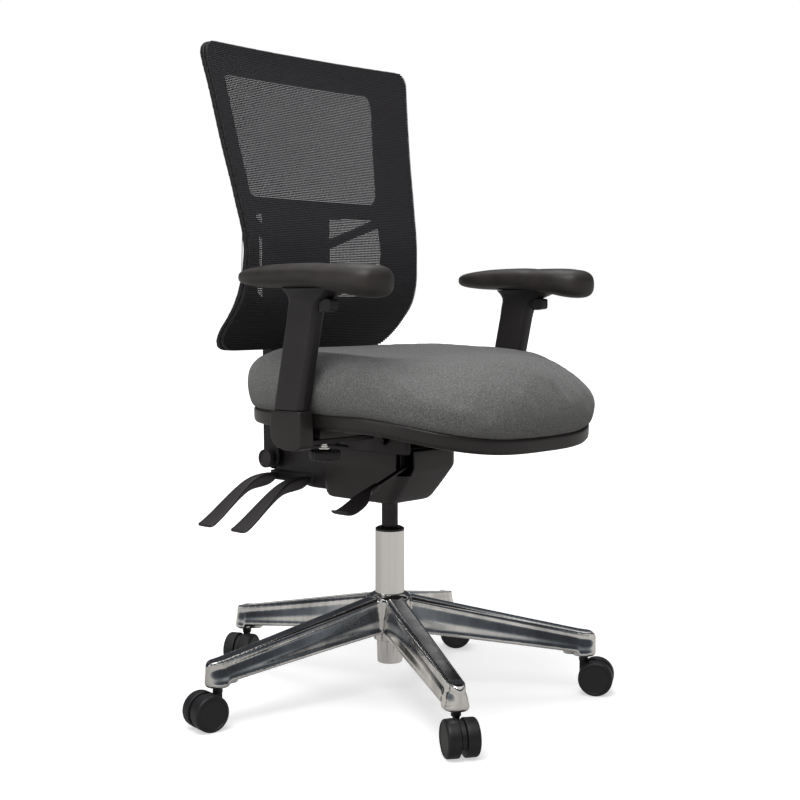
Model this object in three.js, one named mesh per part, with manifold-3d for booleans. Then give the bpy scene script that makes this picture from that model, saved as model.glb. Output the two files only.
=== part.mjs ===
// An office task chair: five-star base on twin-wheel casters, gas lift, tilt mechanism with three levers,
// upholstered seat in a plastic shell, height and width adjustable arms, and a mesh back on an upright.
// Millimetres, +Z up. The chair faces -Y, and "left" is the sitter's left, at +X.
import * as THREE from "three";
import { mergeVertices } from "three/addons/utils/BufferGeometryUtils.js";
import Module from "manifold-3d";

const wasm = await Module();
wasm.setup();

// ---------- driving dimensions ----------
const GAP = 0.4; // between neighbours that touch on the real chair
const FLOOR = 9.3; // the floor's height in the frame that the column, seat, arm and back heights are given in

const BASE = {
  stemCircle: 333, // radius of the circle of caster stems
  firstLeg: 24.3, // degrees from +X
  tipReach: 20, // leg tip past the stem
  hubTop: 185.6,
  hubBottom: 121,
  collarBottom: 103.6,
  barrelBottom: 63.4,
  tipBottom: 75.3,
  tipTop: 117,
};
const CASTER = {
  wheelRadius: 30,
  facets: 18, // sides of a wheel, which stands on one of them
  wheelWidth: 21,
  webWidth: 8,
  wheelGap: 0.8, // between the centre web and each wheel
  trail: 22, // wheel axis behind the stem axis
  axleRadius: 4,
  stemRadius: 5.5,
  neckTop: 65.6, // above the floor, just under the leg tip
  headings: [308, 203, 170, 237, 300], // where each wheel trails, degrees from +X
};
// The axle above the floor: a wheel stands on the middle of one facet.
const AXLE_HEIGHT = CASTER.wheelRadius * Math.cos(Math.PI / CASTER.facets);
const COLUMN = {
  tubeRadius: 25,
  tubeTop: 290,
  bore: 22,
  cylinderRadius: 14,
  cylinderTop: 396,
  rodRadius: 5,
};
const MECH = {
  coverHalf: 65,
  coverFront: -98,
  coverRear: 112,
  coverBottom: 345,
  coverTop: 437,
  trayHalf: 50,
  trayFloor: 398,
  trayTop: 440,
  cheekInner: 40,
  cheekOuter: 46,
};
const TILT_PIVOT = { y: -60, z: 455, radius: 5 }; // seat tilt shaft
const RECLINE_PIVOT = { y: 235, z: 402, radius: 7 }; // back recline shaft
const SEAT = {
  halfWidth: 236,
  frontY: -330,
  rearY: 177,
  middleY: -50,
  frontPower: 3,
  rearPower: 3.1,
  underside: 482,
  band: 25, // height of the plastic band
  drop: 34, // how far the front edge falls
  dropStartY: -150,
  foamTop: 114, // rim of the foam above the underside
  foamDish: 14,
  around: 28,
};
const ARM = {
  x: 261, // post centre
  lean: 0.218, // forward run of the post for each unit of height
  leanY: -37, // post centre at leanZ
  leanZ: 514,
  postWidth: 27,
  postDepth: 63,
  sleeveBottom: 515,
  sleeveTop: 690,
  barBottom: 460,
  barTop: 468,
  knobX: 190,
  studRadius: 4,
  padBottom: 701,
};
const BACK = {
  bottom: 597,
  top: 1109,
  // half-width and front surface, at seven equal steps of height from the bottom to the top
  halfWidths: [212, 210, 203.8, 211.5, 221.7, 231.8, 243],
  fronts: [201, 135, 120, 134, 152.8, 169, 184],
  bow: 14, // the middle lies this far behind the edges
  topCorner: 26,
  bottomCorner: 42,
  dish: 24, // the rear frame's inner edge behind its outer edge
  rimWidth: 64,
};
const UPRIGHT = { halfWidth: 60, frontY: 222, rearY: 240, straightFrom: 560, top: 790 };

// ---------- colours ----------
const ALUMINIUM = { color: 0xb9b6b1, roughness: 0.2, metalness: 1 };
const STEEL = { color: 0xb5b2ad, roughness: 0.25, metalness: 1 };
const BLACK_STEEL = { color: 0x2d2b2c, roughness: 0.35, metalness: 0.8 };
const PLASTIC = { color: 0x2b2929, roughness: 0.5, metalness: 0 };
const CASTER_PLASTIC = { color: 0x262627, roughness: 0.6, metalness: 0 };
const PAD_RUBBER = { color: 0x3f3a37, roughness: 0.6, metalness: 0 };
const FABRIC = { color: 0x6a6a68, roughness: 0.95, metalness: 0 };
const MESH_CLOTH = { color: 0x2a282b, roughness: 0.85, metalness: 0 };
const PLYWOOD = { color: 0xa98a5e, roughness: 0.8, metalness: 0 };
const BRASS = { color: 0xa8843c, roughness: 0.4, metalness: 1 };

// ---------- solids ----------
const ROUND = 18; // sides of a turned piece
const radians = (degrees) => (degrees * Math.PI) / 180;
const clamp = (v, lo, hi) => Math.min(hi, Math.max(lo, v));
const smooth = (t) => t * t * (3 - 2 * t);

function solid(geometry) {
  const loose = geometry.index ? geometry.toNonIndexed() : geometry.clone();
  const bare = new THREE.BufferGeometry().setAttribute("position", loose.getAttribute("position"));
  const merged = mergeVertices(bare, 1e-3);
  const triVerts = new Uint32Array(merged.index.array);
  const build = () =>
    new wasm.Manifold(
      new wasm.Mesh({ numProp: 3, vertProperties: merged.attributes.position.array, triVerts }),
    );
  const made = build();
  if (made.volume() >= 0) return made;
  for (let i = 0; i < triVerts.length; i += 3) {
    [triVerts[i + 1], triVerts[i + 2]] = [triVerts[i + 2], triVerts[i + 1]];
  }
  return build();
}

// The faces of a solid as a three.js geometry, and a copy of the solid moved by a matrix.
function geometryOf(made) {
  const { vertProperties, triVerts } = made.getMesh();
  const geometry = new THREE.BufferGeometry();
  geometry.setAttribute("position", new THREE.Float32BufferAttribute(vertProperties, 3));
  geometry.setIndex([...triVerts]);
  return geometry;
}

const moved = (made, matrix) => solid(geometryOf(made).applyMatrix4(matrix));

const join = (first, ...rest) => rest.reduce((sum, piece) => sum.add(piece), first);
const cut = (first, ...rest) => rest.reduce((left, piece) => left.subtract(piece), first);

function box(x0, x1, y0, y1, z0, z1) {
  const geometry = new THREE.BoxGeometry(x1 - x0, y1 - y0, z1 - z0);
  return solid(geometry.translate((x0 + x1) / 2, (y0 + y1) / 2, (z0 + z1) / 2));
}

// A round bar between two points.
function bar(from, to, radius, sides = 12) {
  const a = new THREE.Vector3(...from);
  const b = new THREE.Vector3(...to);
  const geometry = new THREE.CylinderGeometry(radius, radius, a.distanceTo(b), sides);
  const turn = new THREE.Quaternion().setFromUnitVectors(
    new THREE.Vector3(0, 1, 0),
    b.clone().sub(a).normalize(),
  );
  const middle = a.add(b).multiplyScalar(0.5);
  return solid(geometry.applyQuaternion(turn).translate(middle.x, middle.y, middle.z));
}

// A profile of [radius, height] turned about the Z axis. It starts and ends on the axis, or closes on itself.
function turned(profile, sides, matrix = new THREE.Matrix4()) {
  const points = profile.map(([r, h]) => new THREE.Vector2(r, h));
  const geometry = new THREE.LatheGeometry(points, sides).rotateX(Math.PI / 2);
  return solid(geometry.applyMatrix4(matrix));
}

// The matrix that takes the Z axis onto the X axis and moves the origin to x, y, z.
function alongX(x, y, z) {
  const turn = new THREE.Matrix4().makeRotationY(Math.PI / 2);
  return new THREE.Matrix4().makeTranslation(x, y, z).multiply(turn);
}

function outline(points) {
  return new THREE.Shape(points.map(([a, b]) => new THREE.Vector2(a, b)));
}

// A polygon with each corner rounded by the same radius.
function roundedOutline(points, radius) {
  const shape = new THREE.Shape();
  points.forEach(([a, b], i) => {
    const here = new THREE.Vector2(a, b);
    const before = new THREE.Vector2(...points[(i + points.length - 1) % points.length]);
    const after = new THREE.Vector2(...points[(i + 1) % points.length]);
    const enter = before.sub(here).setLength(radius).add(here);
    const leave = after.sub(here).setLength(radius).add(here);
    if (i) shape.lineTo(enter.x, enter.y);
    else shape.moveTo(enter.x, enter.y);
    shape.quadraticCurveTo(here.x, here.y, leave.x, leave.y);
  });
  return shape;
}

function rectangle(a0, a1, b0, b1, radius) {
  return roundedOutline([[a0, b0], [a1, b0], [a1, b1], [a0, b1]], radius);
}

function extrude(shape, depth, curveSegments = 2) {
  return new THREE.ExtrudeGeometry(shape, { depth, bevelEnabled: false, curveSegments });
}

// Extrusions of an outline: drawn in XY and raised along Z, drawn in XZ and run along Y, and drawn in YZ
// and run along X.
const raised = (shape, z0, z1) => solid(extrude(shape, z1 - z0).translate(0, 0, z0));
const alongYaxis = (shape, y0, y1) =>
  solid(extrude(shape, y1 - y0).rotateX(Math.PI / 2).translate(0, y1, 0));
const YZ_TO_X = new THREE.Matrix4().set(0, 0, 1, 0, 1, 0, 0, 0, 0, 1, 0, 0, 0, 0, 0, 1);
const alongXaxis = (shape, x0, x1) =>
  solid(extrude(shape, x1 - x0).applyMatrix4(YZ_TO_X).translate(x0, 0, 0));

// A closed skin over rings that all have the same number of [x, y, z] points. The second half of each ring
// is split along the other diagonal, so that the two faces of a sheet stay parallel.
function loft(rings) {
  const count = rings[0].length;
  const middle = (ring) => [0, 1, 2].map((k) => ring.reduce((sum, p) => sum + p[k], 0) / count);
  const points = [...rings.flat(), middle(rings[0]), middle(rings[rings.length - 1])];
  const foot = rings.length * count;
  const faces = [];
  for (let j = 0; j < count; j += 1) {
    const k = (j + 1) % count;
    for (let i = 0; i + 1 < rings.length; i += 1) {
      const [a, b, c, d] = [i * count + j, i * count + k, (i + 1) * count + k, (i + 1) * count + j];
      if (j < count / 2) faces.push(a, b, c, a, c, d);
      else faces.push(b, c, d, b, d, a);
    }
    const last = (rings.length - 1) * count;
    faces.push(foot, k, j, foot + 1, last + j, last + k);
  }
  const geometry = new THREE.BufferGeometry();
  geometry.setAttribute("position", new THREE.Float32BufferAttribute(points.flat(), 3));
  geometry.setIndex(faces);
  return solid(geometry);
}

// ---------- the assembly ----------
const chair = new THREE.Group();

function add(name, made, look) {
  const geometry = geometryOf(made);
  geometry.computeVertexNormals();
  const mesh = new THREE.Mesh(geometry, new THREE.MeshStandardMaterial(look));
  mesh.name = name;
  chair.add(mesh);
}

// ---------- base ----------
const STEM_BORE_TOP = 106;
const legAngle = (i) => radians(BASE.firstLeg + 72 * i);

// One leg along +X: a crowned bar that tapers from the hub to the tip.
function legBar() {
  const [shoulderDrop, bevelWidth, bevelDrop] = [13, 4, 2];
  const section = (x, bottom, top, halfBottom, halfShoulder, halfCrest) => {
    const right = [
      [x, halfBottom, bottom],
      [x, halfShoulder, top - shoulderDrop],
      [x, halfCrest + bevelWidth, top - bevelDrop],
      [x, halfCrest, top],
    ];
    return [...right, ...right.map(([a, b, c]) => [a, -b, c]).reverse()];
  };
  return loft([
    section(16, BASE.hubBottom, 184, 24, 23, 10),
    section(120, 109, 162, 23, 22, 10.5),
    section(230, 95, 139, 21.5, 20.5, 10.5),
    section(BASE.stemCircle - 4, 82, 119, 20.5, 19, 10.5),
  ]);
}

function tipBoss() {
  const { tipBottom, tipTop, tipReach } = BASE;
  const reach = tipReach + 1;
  const profile = [
    [0, tipBottom], [reach - 2, tipBottom], [reach, tipBottom + 2], [reach - 0.5, tipTop - 14],
    [reach - 4, tipTop - 5], [reach - 10, tipTop - 0.5], [0, tipTop],
  ];
  return turned(profile, 14, new THREE.Matrix4().makeTranslation(BASE.stemCircle, 0, 0));
}

function starBase() {
  const { hubTop, hubBottom, collarBottom, barrelBottom, stemCircle, tipBottom } = BASE;
  const hub = turned(
    [[0, barrelBottom], [21, barrelBottom], [22.5, collarBottom], [28, collarBottom], [28, hubBottom],
     [38, hubBottom], [40, hubBottom + 6], [39, hubTop - 9], [33, hubTop], [0, hubTop]],
    20,
  );
  const flange = box(stemCircle - 34, stemCircle - 8, -12, 12, tipBottom + 3, tipBottom + 9);
  const boreRadius = CASTER.stemRadius + GAP;
  const stemBore = bar([stemCircle, 0, tipBottom - 5], [stemCircle, 0, STEM_BORE_TOP], boreRadius);
  const hollowEnd = (x, halfBottom, halfTop, z0, z1) => [
    [x, -halfBottom, z0], [x, halfBottom, z0], [x, halfTop, z1], [x, -halfTop, z1],
  ];
  const hollow = loft([hollowEnd(48, 19, 17, 80, 168), hollowEnd(stemCircle - 28, 15, 13, 60, 108)]);
  const leg = cut(join(legBar(), flange, tipBoss()), hollow, stemBore);
  let made = hub;
  for (let i = 0; i < 5; i += 1) {
    made = made.add(moved(leg, new THREE.Matrix4().makeRotationZ(legAngle(i))));
  }
  const tubeSeat = turned(
    [[0, 60], [19.9, 60], [19.9, 104], [25.3, 125], [25.3, 200], [0, 200]],
    20,
  );
  return made.subtract(tubeSeat);
}

function casterMatrix(i) {
  const angle = legAngle(i);
  const place = new THREE.Matrix4().makeTranslation(
    BASE.stemCircle * Math.cos(angle),
    BASE.stemCircle * Math.sin(angle),
    FLOOR,
  );
  return place.multiply(new THREE.Matrix4().makeRotationZ(radians(CASTER.headings[i])));
}

// In the caster's own frame the floor is z = 0, the stem stands on the origin, the wheel trails along +X
// and the axle lies along Y.
function casterHood(matrix) {
  const { trail, wheelRadius, webWidth, axleRadius, stemRadius, neckTop } = CASTER;
  const upright = (radius, z0, z1, sides) =>
    new THREE.CylinderGeometry(radius, radius, z1 - z0, sides)
      .rotateX(Math.PI / 2)
      .translate(0, 0, (z0 + z1) / 2);
  const web = new THREE.Shape();
  web.absarc(trail, AXLE_HEIGHT, wheelRadius - 3, radians(-25), radians(205), false);
  const fin = extrude(web, webWidth, 9).rotateX(Math.PI / 2).translate(0, webWidth / 2, 0);
  const neck = upright(8, neckTop - 9, neckTop, 12);
  const cheek = new THREE.BoxGeometry(14, webWidth, 44).translate(0.5, 0, 38);
  const stem = upright(stemRadius, neckTop - 4, STEM_BORE_TOP - FLOOR - 2, 8);
  const bore = new THREE.CylinderGeometry(axleRadius + GAP, axleRadius + GAP, 3 * webWidth, 8);
  const pieces = [fin, neck, cheek, stem, bore.translate(trail, 0, AXLE_HEIGHT)];
  const [hole, ...rest] = pieces.map((g) => solid(g.applyMatrix4(matrix))).reverse();
  return cut(join(...rest), hole);
}

function casterAxle(matrix) {
  const { trail, axleRadius } = CASTER;
  const geometry = new THREE.CylinderGeometry(axleRadius, axleRadius, 38, 8);
  return solid(geometry.translate(trail, 0, AXLE_HEIGHT).applyMatrix4(matrix));
}

// One wheel, on the side (+1 or -1) of the centre web, with a flat facet on the floor.
function casterWheel(matrix, side) {
  const { trail, facets, wheelRadius: r, wheelWidth: w, webWidth, wheelGap, axleRadius } = CASTER;
  const inner = webWidth / 2 + wheelGap;
  const profile = [
    [axleRadius + GAP, 0], [r, 0], [r, w - 4], [r - 4, w], [0, w], [0, w - 4], [axleRadius + GAP, w - 4],
    [axleRadius + GAP, 0],
  ];
  const points = profile.map(([a, h]) => new THREE.Vector2(a, h));
  const geometry = new THREE.LatheGeometry(points, facets, Math.PI / facets)
    .rotateX(side > 0 ? 0 : Math.PI)
    .translate(trail, side * inner, AXLE_HEIGHT);
  return solid(geometry.applyMatrix4(matrix));
}

// ---------- column ----------
function columnTube() {
  const { tubeRadius: r, tubeTop, bore, rodRadius } = COLUMN;
  return turned(
    [[rodRadius + GAP, 66], [18.5, 66], [19.4, 103], [r - 0.2, 125], [r, 186], [r, tubeTop],
     [bore, tubeTop], [bore, 130], [15.6, 120], [15.6, 70], [rodRadius + GAP, 70], [rodRadius + GAP, 66]],
    ROUND,
  );
}

function guideBush() {
  const { tubeRadius: r, tubeTop, bore, cylinderRadius } = COLUMN;
  const inner = cylinderRadius + GAP;
  return turned(
    [[inner, 240], [bore - GAP, 240], [bore - GAP, tubeTop + GAP], [r + 0.5, tubeTop + GAP],
     [r + 0.5, tubeTop + 4], [r - 2, tubeTop + 6.5], [inner, tubeTop + 6.5], [inner, 240]],
    ROUND,
  );
}

function gasCylinder() {
  const { cylinderRadius: r, cylinderTop, rodRadius } = COLUMN;
  const inner = rodRadius + 0.6;
  return turned(
    [[0, 300], [inner, 300], [inner, 112], [r, 112], [r, 342], [r - 0.8, cylinderTop - 1],
     [r - 2, cylinderTop], [0, cylinderTop]],
    ROUND,
  );
}

const pistonRod = () =>
  turned([[0, 62], [7, 62], [7, 64], [COLUMN.rodRadius, 64], [COLUMN.rodRadius, 250], [0, 250]], 10);

const thrustBearing = () => turned([[5.6, 70.4], [12, 70.4], [12, 73], [5.6, 73], [5.6, 70.4]], 12);

const retainingClip = () => turned([[5.4, 64.3], [10.5, 64.3], [10.5, 65.6], [5.4, 65.6], [5.4, 64.3]], 12);

// ---------- mechanism ----------
// A rounded rectangle of 16 points at one height.
function rectangleRing(halfX, y0, y1, z, radius) {
  const ring = [];
  const corners = [[1, y1, 0], [-1, y1, 90], [-1, y0, 180], [1, y0, 270]];
  corners.forEach(([side, y, start]) => {
    const cx = side * (halfX - radius);
    const cy = y + (y === y1 ? -radius : radius);
    for (let k = 0; k <= 3; k += 1) {
      const angle = radians(start + k * 30);
      ring.push([cx + radius * Math.cos(angle), cy + radius * Math.sin(angle), z]);
    }
  });
  return ring;
}

function coverSkin(inset) {
  const { coverHalf, coverFront, coverRear, coverBottom, coverTop } = MECH;
  const ring = (halfX, y0, y1, z) => rectangleRing(halfX - inset, y0 + inset, y1 - inset, z, 16 - inset);
  return loft([
    ring(coverHalf - 20, coverFront + 58, coverRear - 10, coverBottom + inset),
    ring(coverHalf - 13, coverFront + 40, coverRear - 3, coverBottom + 7 + inset),
    ring(coverHalf - 3, coverFront + 10, coverRear, 395),
    ring(coverHalf, coverFront, coverRear, 412),
    ring(coverHalf, coverFront, coverRear, coverTop + (inset ? 5 : 0)),
  ]);
}

function mechCover() {
  const { coverBottom, coverTop, coverRear, cheekOuter } = MECH;
  const [holeLow, holeHigh] = [coverBottom - 5, coverBottom + 20];
  const cylinderHole = bar([0, 0, holeLow], [0, 0, holeHigh], COLUMN.cylinderRadius + 1.5, ROUND);
  const mouthHalf = cheekOuter + 2;
  const rearMouth = box(-mouthHalf, mouthHalf, coverRear - 14, coverRear + 4, 352, coverTop + 5);
  const leverNotch = box(-70, -44, -100, -74, 396, coverTop + 5);
  return cut(coverSkin(0), coverSkin(3), cylinderHole, rearMouth, leverNotch);
}

// A bar along X through a pivot, from -halfLength to halfLength, with its radius grown by a clearance.
const pivotBar = ({ y, z, radius }, halfLength, clearance) =>
  bar([-halfLength, y, z], [halfLength, y, z], radius + clearance);

function mechHousing() {
  const { trayHalf, trayFloor, trayTop, cheekInner, cheekOuter } = MECH;
  const tray = cut(
    raised(rectangle(-trayHalf, trayHalf, -72, 88, 8), trayFloor, trayTop),
    raised(rectangle(-trayHalf + 4, trayHalf - 4, -68, 84, 5), trayFloor + 5, trayTop + 1),
  );
  const socket = bar([0, 0, 352], [0, 0, 430], 24, ROUND);
  const saddles = [-1, 1].map((s) => {
    const [x0, x1] = s > 0 ? [38, trayHalf] : [-trayHalf, -38];
    return alongXaxis(rectangle(TILT_PIVOT.y - 11, TILT_PIVOT.y + 13, 402, 466, 4), x0, x1);
  });
  const cheekShape = roundedOutline(
    [[80, 356], [150, 356], [222, 376], [256, 386], [256, 420], [80, 436]],
    12,
  );
  const cheeks = [-1, 1].map((s) => {
    const [x0, x1] = s > 0 ? [cheekInner, cheekOuter] : [-cheekOuter, -cheekInner];
    return alongXaxis(cheekShape, x0, x1);
  });
  const tie = box(-cheekInner - 1, cheekInner + 1, 140, 170, 362, 372);
  const leverBlock = box(-50, -20, 142, 248, 362, 379);
  const body = join(tray, socket, ...saddles, ...cheeks, tie, leverBlock);
  return cut(
    body,
    bar([0, 0, 340], [0, 0, 400], COLUMN.cylinderRadius + GAP, ROUND),
    bar([0, 0, 399], [0, 0, 440], 8),
    pivotBar(TILT_PIVOT, 70, GAP),
    pivotBar(RECLINE_PIVOT, 70, GAP),
  );
}

const tiltShaft = () => pivotBar(TILT_PIVOT, 84, 0);

const reclineShaft = () => pivotBar(RECLINE_PIVOT, CAP_INNER_X, 0);

const CAP_INNER_X = 67;

function pivotCap(side) {
  const profile = [[0, 0], [16.5, 0], [16.5, 7], [15, 9], [13, 9], [12, 7.6], [0, 7.6]];
  const matrix = alongX(0, RECLINE_PIVOT.y, RECLINE_PIVOT.z);
  if (side < 0) matrix.multiply(new THREE.Matrix4().makeRotationX(Math.PI));
  matrix.multiply(new THREE.Matrix4().makeTranslation(0, 0, CAP_INNER_X + GAP));
  return turned(profile, ROUND, matrix);
}

// The tilt spring: a coil that lies along Y in the tray.
function tiltSpring() {
  const [turns, perTurn, radius, wireRadius] = [5, 8, 11, 2];
  const [startY, length, middleZ] = [30, 44, 420];
  const steps = turns * perTurn;
  const points = Array.from({ length: steps + 1 }, (_, k) => {
    const angle = (k / perTurn) * 2 * Math.PI;
    const y = startY + (k / steps) * length;
    return new THREE.Vector3(radius * Math.cos(angle), y, middleZ + radius * Math.sin(angle));
  });
  const wire = new THREE.Shape().absarc(0, 0, wireRadius, 0, 2 * Math.PI);
  const path = new THREE.CatmullRomCurve3(points);
  const options = { steps, curveSegments: 3, extrudePath: path, bevelEnabled: false };
  return solid(new THREE.ExtrudeGeometry(wire, options));
}

// A flat lever: stations of [x, z, half width along Y, half thickness], at one y.
function blade(y, stations) {
  return loft(
    stations.map(([x, z, half, thick]) => [
      [x, y - half, z - thick * 0.3], [x, y - half * 0.7, z - thick], [x, y + half * 0.7, z - thick],
      [x, y + half, z - thick * 0.3], [x, y + half, z + thick * 0.4], [x, y + half * 0.7, z + thick],
      [x, y - half * 0.7, z + thick], [x, y - half, z + thick * 0.4],
    ]),
  );
}

const TILT_LEVER = [
  [-51, 371, 7, 4], [-75, 375, 9, 4.5], [-96, 374, 10, 4.5], [-112, 368, 11.5, 4.2],
  [-130, 356, 13.5, 4], [-155, 337, 16, 3.6], [-184, 315, 18.5, 3.4], [-206, 302, 20, 3],
  [-212, 299, 17.5, 2],
];
const tiltLever = (y) => blade(y, TILT_LEVER);

const liftRod = () => bar([-53, -84, 411], [-150, -92, 381], 3.6, 12);

function liftPaddle() {
  const skin = blade(-93, [
    [-132, 387, 6, 5.5], [-150, 381, 7, 5.5], [-163, 374, 13, 4.5], [-180, 364, 18, 3.2],
    [-205, 353, 20, 2.4], [-212, 351, 18, 1.8],
  ]);
  return cut(skin, bar([-120, -89.6, 390.3], [-150.6, -92.05, 380.8], 3.6 + 0.3, 12));
}

// ---------- seat ----------
const drop = (y) => SEAT.drop * clamp((SEAT.dropStartY - y) / (SEAT.dropStartY - SEAT.frontY), 0, 1) ** 1.6;

// A ring round the seat: share 1 is the edge and 0 the middle, grow moves the edge out.
function seatRing(share, grow, height) {
  const { halfWidth, frontY, rearY, middleY, frontPower, rearPower, underside, around } = SEAT;
  return Array.from({ length: around }, (_, k) => {
    const angle = (k / around) * 2 * Math.PI;
    const [c, s] = [Math.cos(angle), Math.sin(angle)];
    const power = 2 / (s < 0 ? frontPower : rearPower);
    const reach = (s < 0 ? middleY - frontY : rearY - middleY) + grow;
    const x = share * (halfWidth + grow) * Math.sign(c) * Math.abs(c) ** power;
    const y = middleY + share * reach * Math.sign(s) * Math.abs(s) ** power;
    return [x, y, underside + height - drop(y)];
  });
}

const seatSkin = (rows) => loft(rows.map(([share, grow, height]) => seatRing(share, grow, height)));

// Rings of a level face from the middle out to the edge.
const SHARES = [0.02, 0.36, 0.6, 0.85, 1];
const outward = (grow, height) => SHARES.map((share) => [share, grow, height]);
const inward = (grow, height) => outward(grow, height).reverse();

function seatShell() {
  const { band, underside } = SEAT;
  const tray = seatSkin([...outward(-6, 0), [1, 0, 6], [1, 0, band], [1, -4, band], ...inward(-6, 5)]);
  const armPads = [-1, 1].map((s) => {
    const [x0, x1] = s > 0 ? [112, 228] : [-228, -112];
    const [y0, y1] = [ARM.leanY - 30, ARM.leanY + 30];
    return box(x0, x1, y0, y1, ARM.barTop + GAP, underside + 1);
  });
  const studHoles = [-1, 1].map((s) => {
    const x = s * ARM.knobX;
    return bar([x, ARM.leanY, underside - 22], [x, ARM.leanY, underside - 1], ARM.studRadius + 0.5, 16);
  });
  return cut(join(tray, ...armPads), ...studHoles);
}

const seatBoard = () => seatSkin([...outward(-8, 7), ...inward(-8, 15)]);

function seatCushion() {
  const { band, foamTop, foamDish } = SEAT;
  return seatSkin([
    ...outward(-8, 17.5), [1, -8, band + 0.6], [1, 0, band + 0.6], [1, 6, 55], [1, 6, 82], [1, 1, 100],
    [1, -14, foamTop - 3], [0.88, 0, foamTop], [0.7, 0, foamTop - 0.45 * foamDish],
    [0.45, 0, foamTop - 0.85 * foamDish], [0.02, 0, foamTop - foamDish],
  ]);
}

function seatPlate() {
  const top = SEAT.underside - GAP;
  const plate = raised(rectangle(-88, 88, -118, 122, 14), top - 6, top);
  const flanges = [-1, 1].map((s) => {
    const [x0, x1] = s > 0 ? [70, 76] : [-76, -70];
    return alongXaxis(roundedOutline([[-112, 434], [20, 434], [60, 476], [-112, 476]], 6), x0, x1);
  });
  return cut(join(plate, ...flanges), pivotBar(TILT_PIVOT, 90, GAP));
}

// ---------- arms ----------
// An outline raised from z0 to z1 along the leaning axis of the arm post.
function leaned(shape, z0, z1) {
  const { lean, leanZ } = ARM;
  const shear = new THREE.Matrix4().set(1, 0, 0, 0, 0, 1, -lean, lean * leanZ, 0, 0, 1, 0, 0, 0, 0, 1);
  return solid(extrude(shape, z1 - z0).translate(0, 0, z0).applyMatrix4(shear));
}

const postOutline = (x, width, depth, radius) =>
  rectangle(x - width / 2, x + width / 2, ARM.leanY - depth / 2, ARM.leanY + depth / 2, radius);

// The inner post, which the sleeve and the lower cover fit around.
const innerPost = (x, clearance) => postOutline(x, 15 + 2 * clearance, 45 + 2 * clearance, 4);

// Both ends of a span along X on one side of the chair, in rising order.
const span = (side, near, far) => (side > 0 ? [near, far] : [-far, -near]);

function armBracket(side) {
  const { leanY, barBottom, barTop, knobX, x } = ARM;
  const [x0, x1] = span(side, 104, x + 7);
  const flat = box(x0, x1, leanY - 26, leanY + 26, barBottom, barTop);
  const post = leaned(innerPost(side * x, 0), barBottom, 655);
  const slot = raised(
    rectangle(...span(side, knobX - 36, knobX + 5.5), leanY - 4.8, leanY + 4.8, 4),
    barBottom - 1,
    barTop + 1,
  );
  return cut(join(flat, post), slot);
}

function armLowerCover(side) {
  const { x, postWidth, leanY, leanZ, barBottom, barTop, sleeveBottom } = ARM;
  const half = postWidth / 2 + 0.6;
  const profile = new THREE.Shape();
  profile.moveTo(leanY + 33, sleeveBottom - GAP);
  profile.lineTo(leanY - 33, sleeveBottom - GAP);
  profile.lineTo(leanY - 36, 456);
  profile.quadraticCurveTo(leanY - 20, 451, leanY + 8, 453);
  profile.quadraticCurveTo(leanY + 36, 458, leanY + 35, 488);
  const skin = alongXaxis(profile, side * x - half, side * x + half);
  const bore = leaned(innerPost(side * x, GAP), 440, leanZ + 10);
  const [x0, x1] = span(side, x - half - 5, x + 7.5);
  const mouth = box(x0, x1, leanY - 26.5, leanY + 26.5, barBottom - GAP, barTop + GAP);
  return cut(skin, bore, mouth);
}

function armSleeve(side) {
  const { x, postWidth, postDepth, sleeveBottom, sleeveTop } = ARM;
  const outer = leaned(postOutline(side * x, postWidth, postDepth, 10), sleeveBottom, sleeveTop);
  const bore = leaned(innerPost(side * x, GAP), sleeveBottom - 5, sleeveTop - 8);
  return outer.subtract(bore);
}

function armPadSupport(side) {
  const { x, sleeveTop, padBottom } = ARM;
  const ring = (halfX, y0, y1, z) =>
    rectangleRing(halfX, y0, y1, z, 10).map(([a, b, c]) => [a + side * x, b, c]);
  return loft([
    ring(14, -108, -44, sleeveTop + GAP),
    ring(17, -118, -36, sleeveTop + 3),
    ring(28, -130, -22, padBottom - 3),
    ring(30, -134, -18, padBottom - GAP),
  ]);
}

function heightButton(side) {
  const profile = roundedOutline([[-131, 668], [-108, 665], [-106.5, 686], [-131, 686]], 4);
  return alongXaxis(profile, side * ARM.x - 9, side * ARM.x + 9);
}

function armKnob(side) {
  const place = new THREE.Matrix4().makeTranslation(side * ARM.knobX, ARM.leanY, 0);
  const { studRadius } = ARM;
  const profile = [
    [0, 431], [21, 431], [25, 436], [25, 447], [9, 447], [8, 450], [studRadius, 450], [studRadius, 478],
    [0, 478],
  ];
  return turned(profile, 14, place);
}

// The arm pad: stations of [y, middle height, half width, half thickness], toed in towards the front.
const PAD_STATIONS = [
  [55, 718, 16, 6], [50, 718.5, 25, 9.5], [36, 719, 34, 13], [12, 719.5, 40, 16], [-50, 720, 42, 19],
  [-110, 719.5, 42, 19.5], [-155, 716, 43, 22], [-190, 712.5, 41, 24.5], [-212, 710.5, 34, 23],
  [-223, 709.5, 24, 17], [-227, 709, 12, 9],
];
const PAD_TOE = { rearX: 265, rearY: 14, inwardPerLength: 11 / 200 };

function armPad(side) {
  const ring = ([y, z, half, thick]) => {
    const centre = PAD_TOE.rearX - PAD_TOE.inwardPerLength * clamp(PAD_TOE.rearY - y, 0, 200);
    return Array.from({ length: 12 }, (_, k) => {
      const angle = (k / 12) * 2 * Math.PI;
      const [c, s] = [Math.cos(angle), Math.sin(angle)];
      const across = half * Math.sign(c) * Math.abs(c) ** 0.75;
      return [side * centre + across, y, z + thick * Math.sign(s) * Math.abs(s) ** 0.75];
    });
  };
  const flat = box(side * ARM.x - 70, side * ARM.x + 70, -140, 70, 600, ARM.padBottom);
  return cut(loft(PAD_STATIONS.map(ring)), flat);
}

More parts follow.
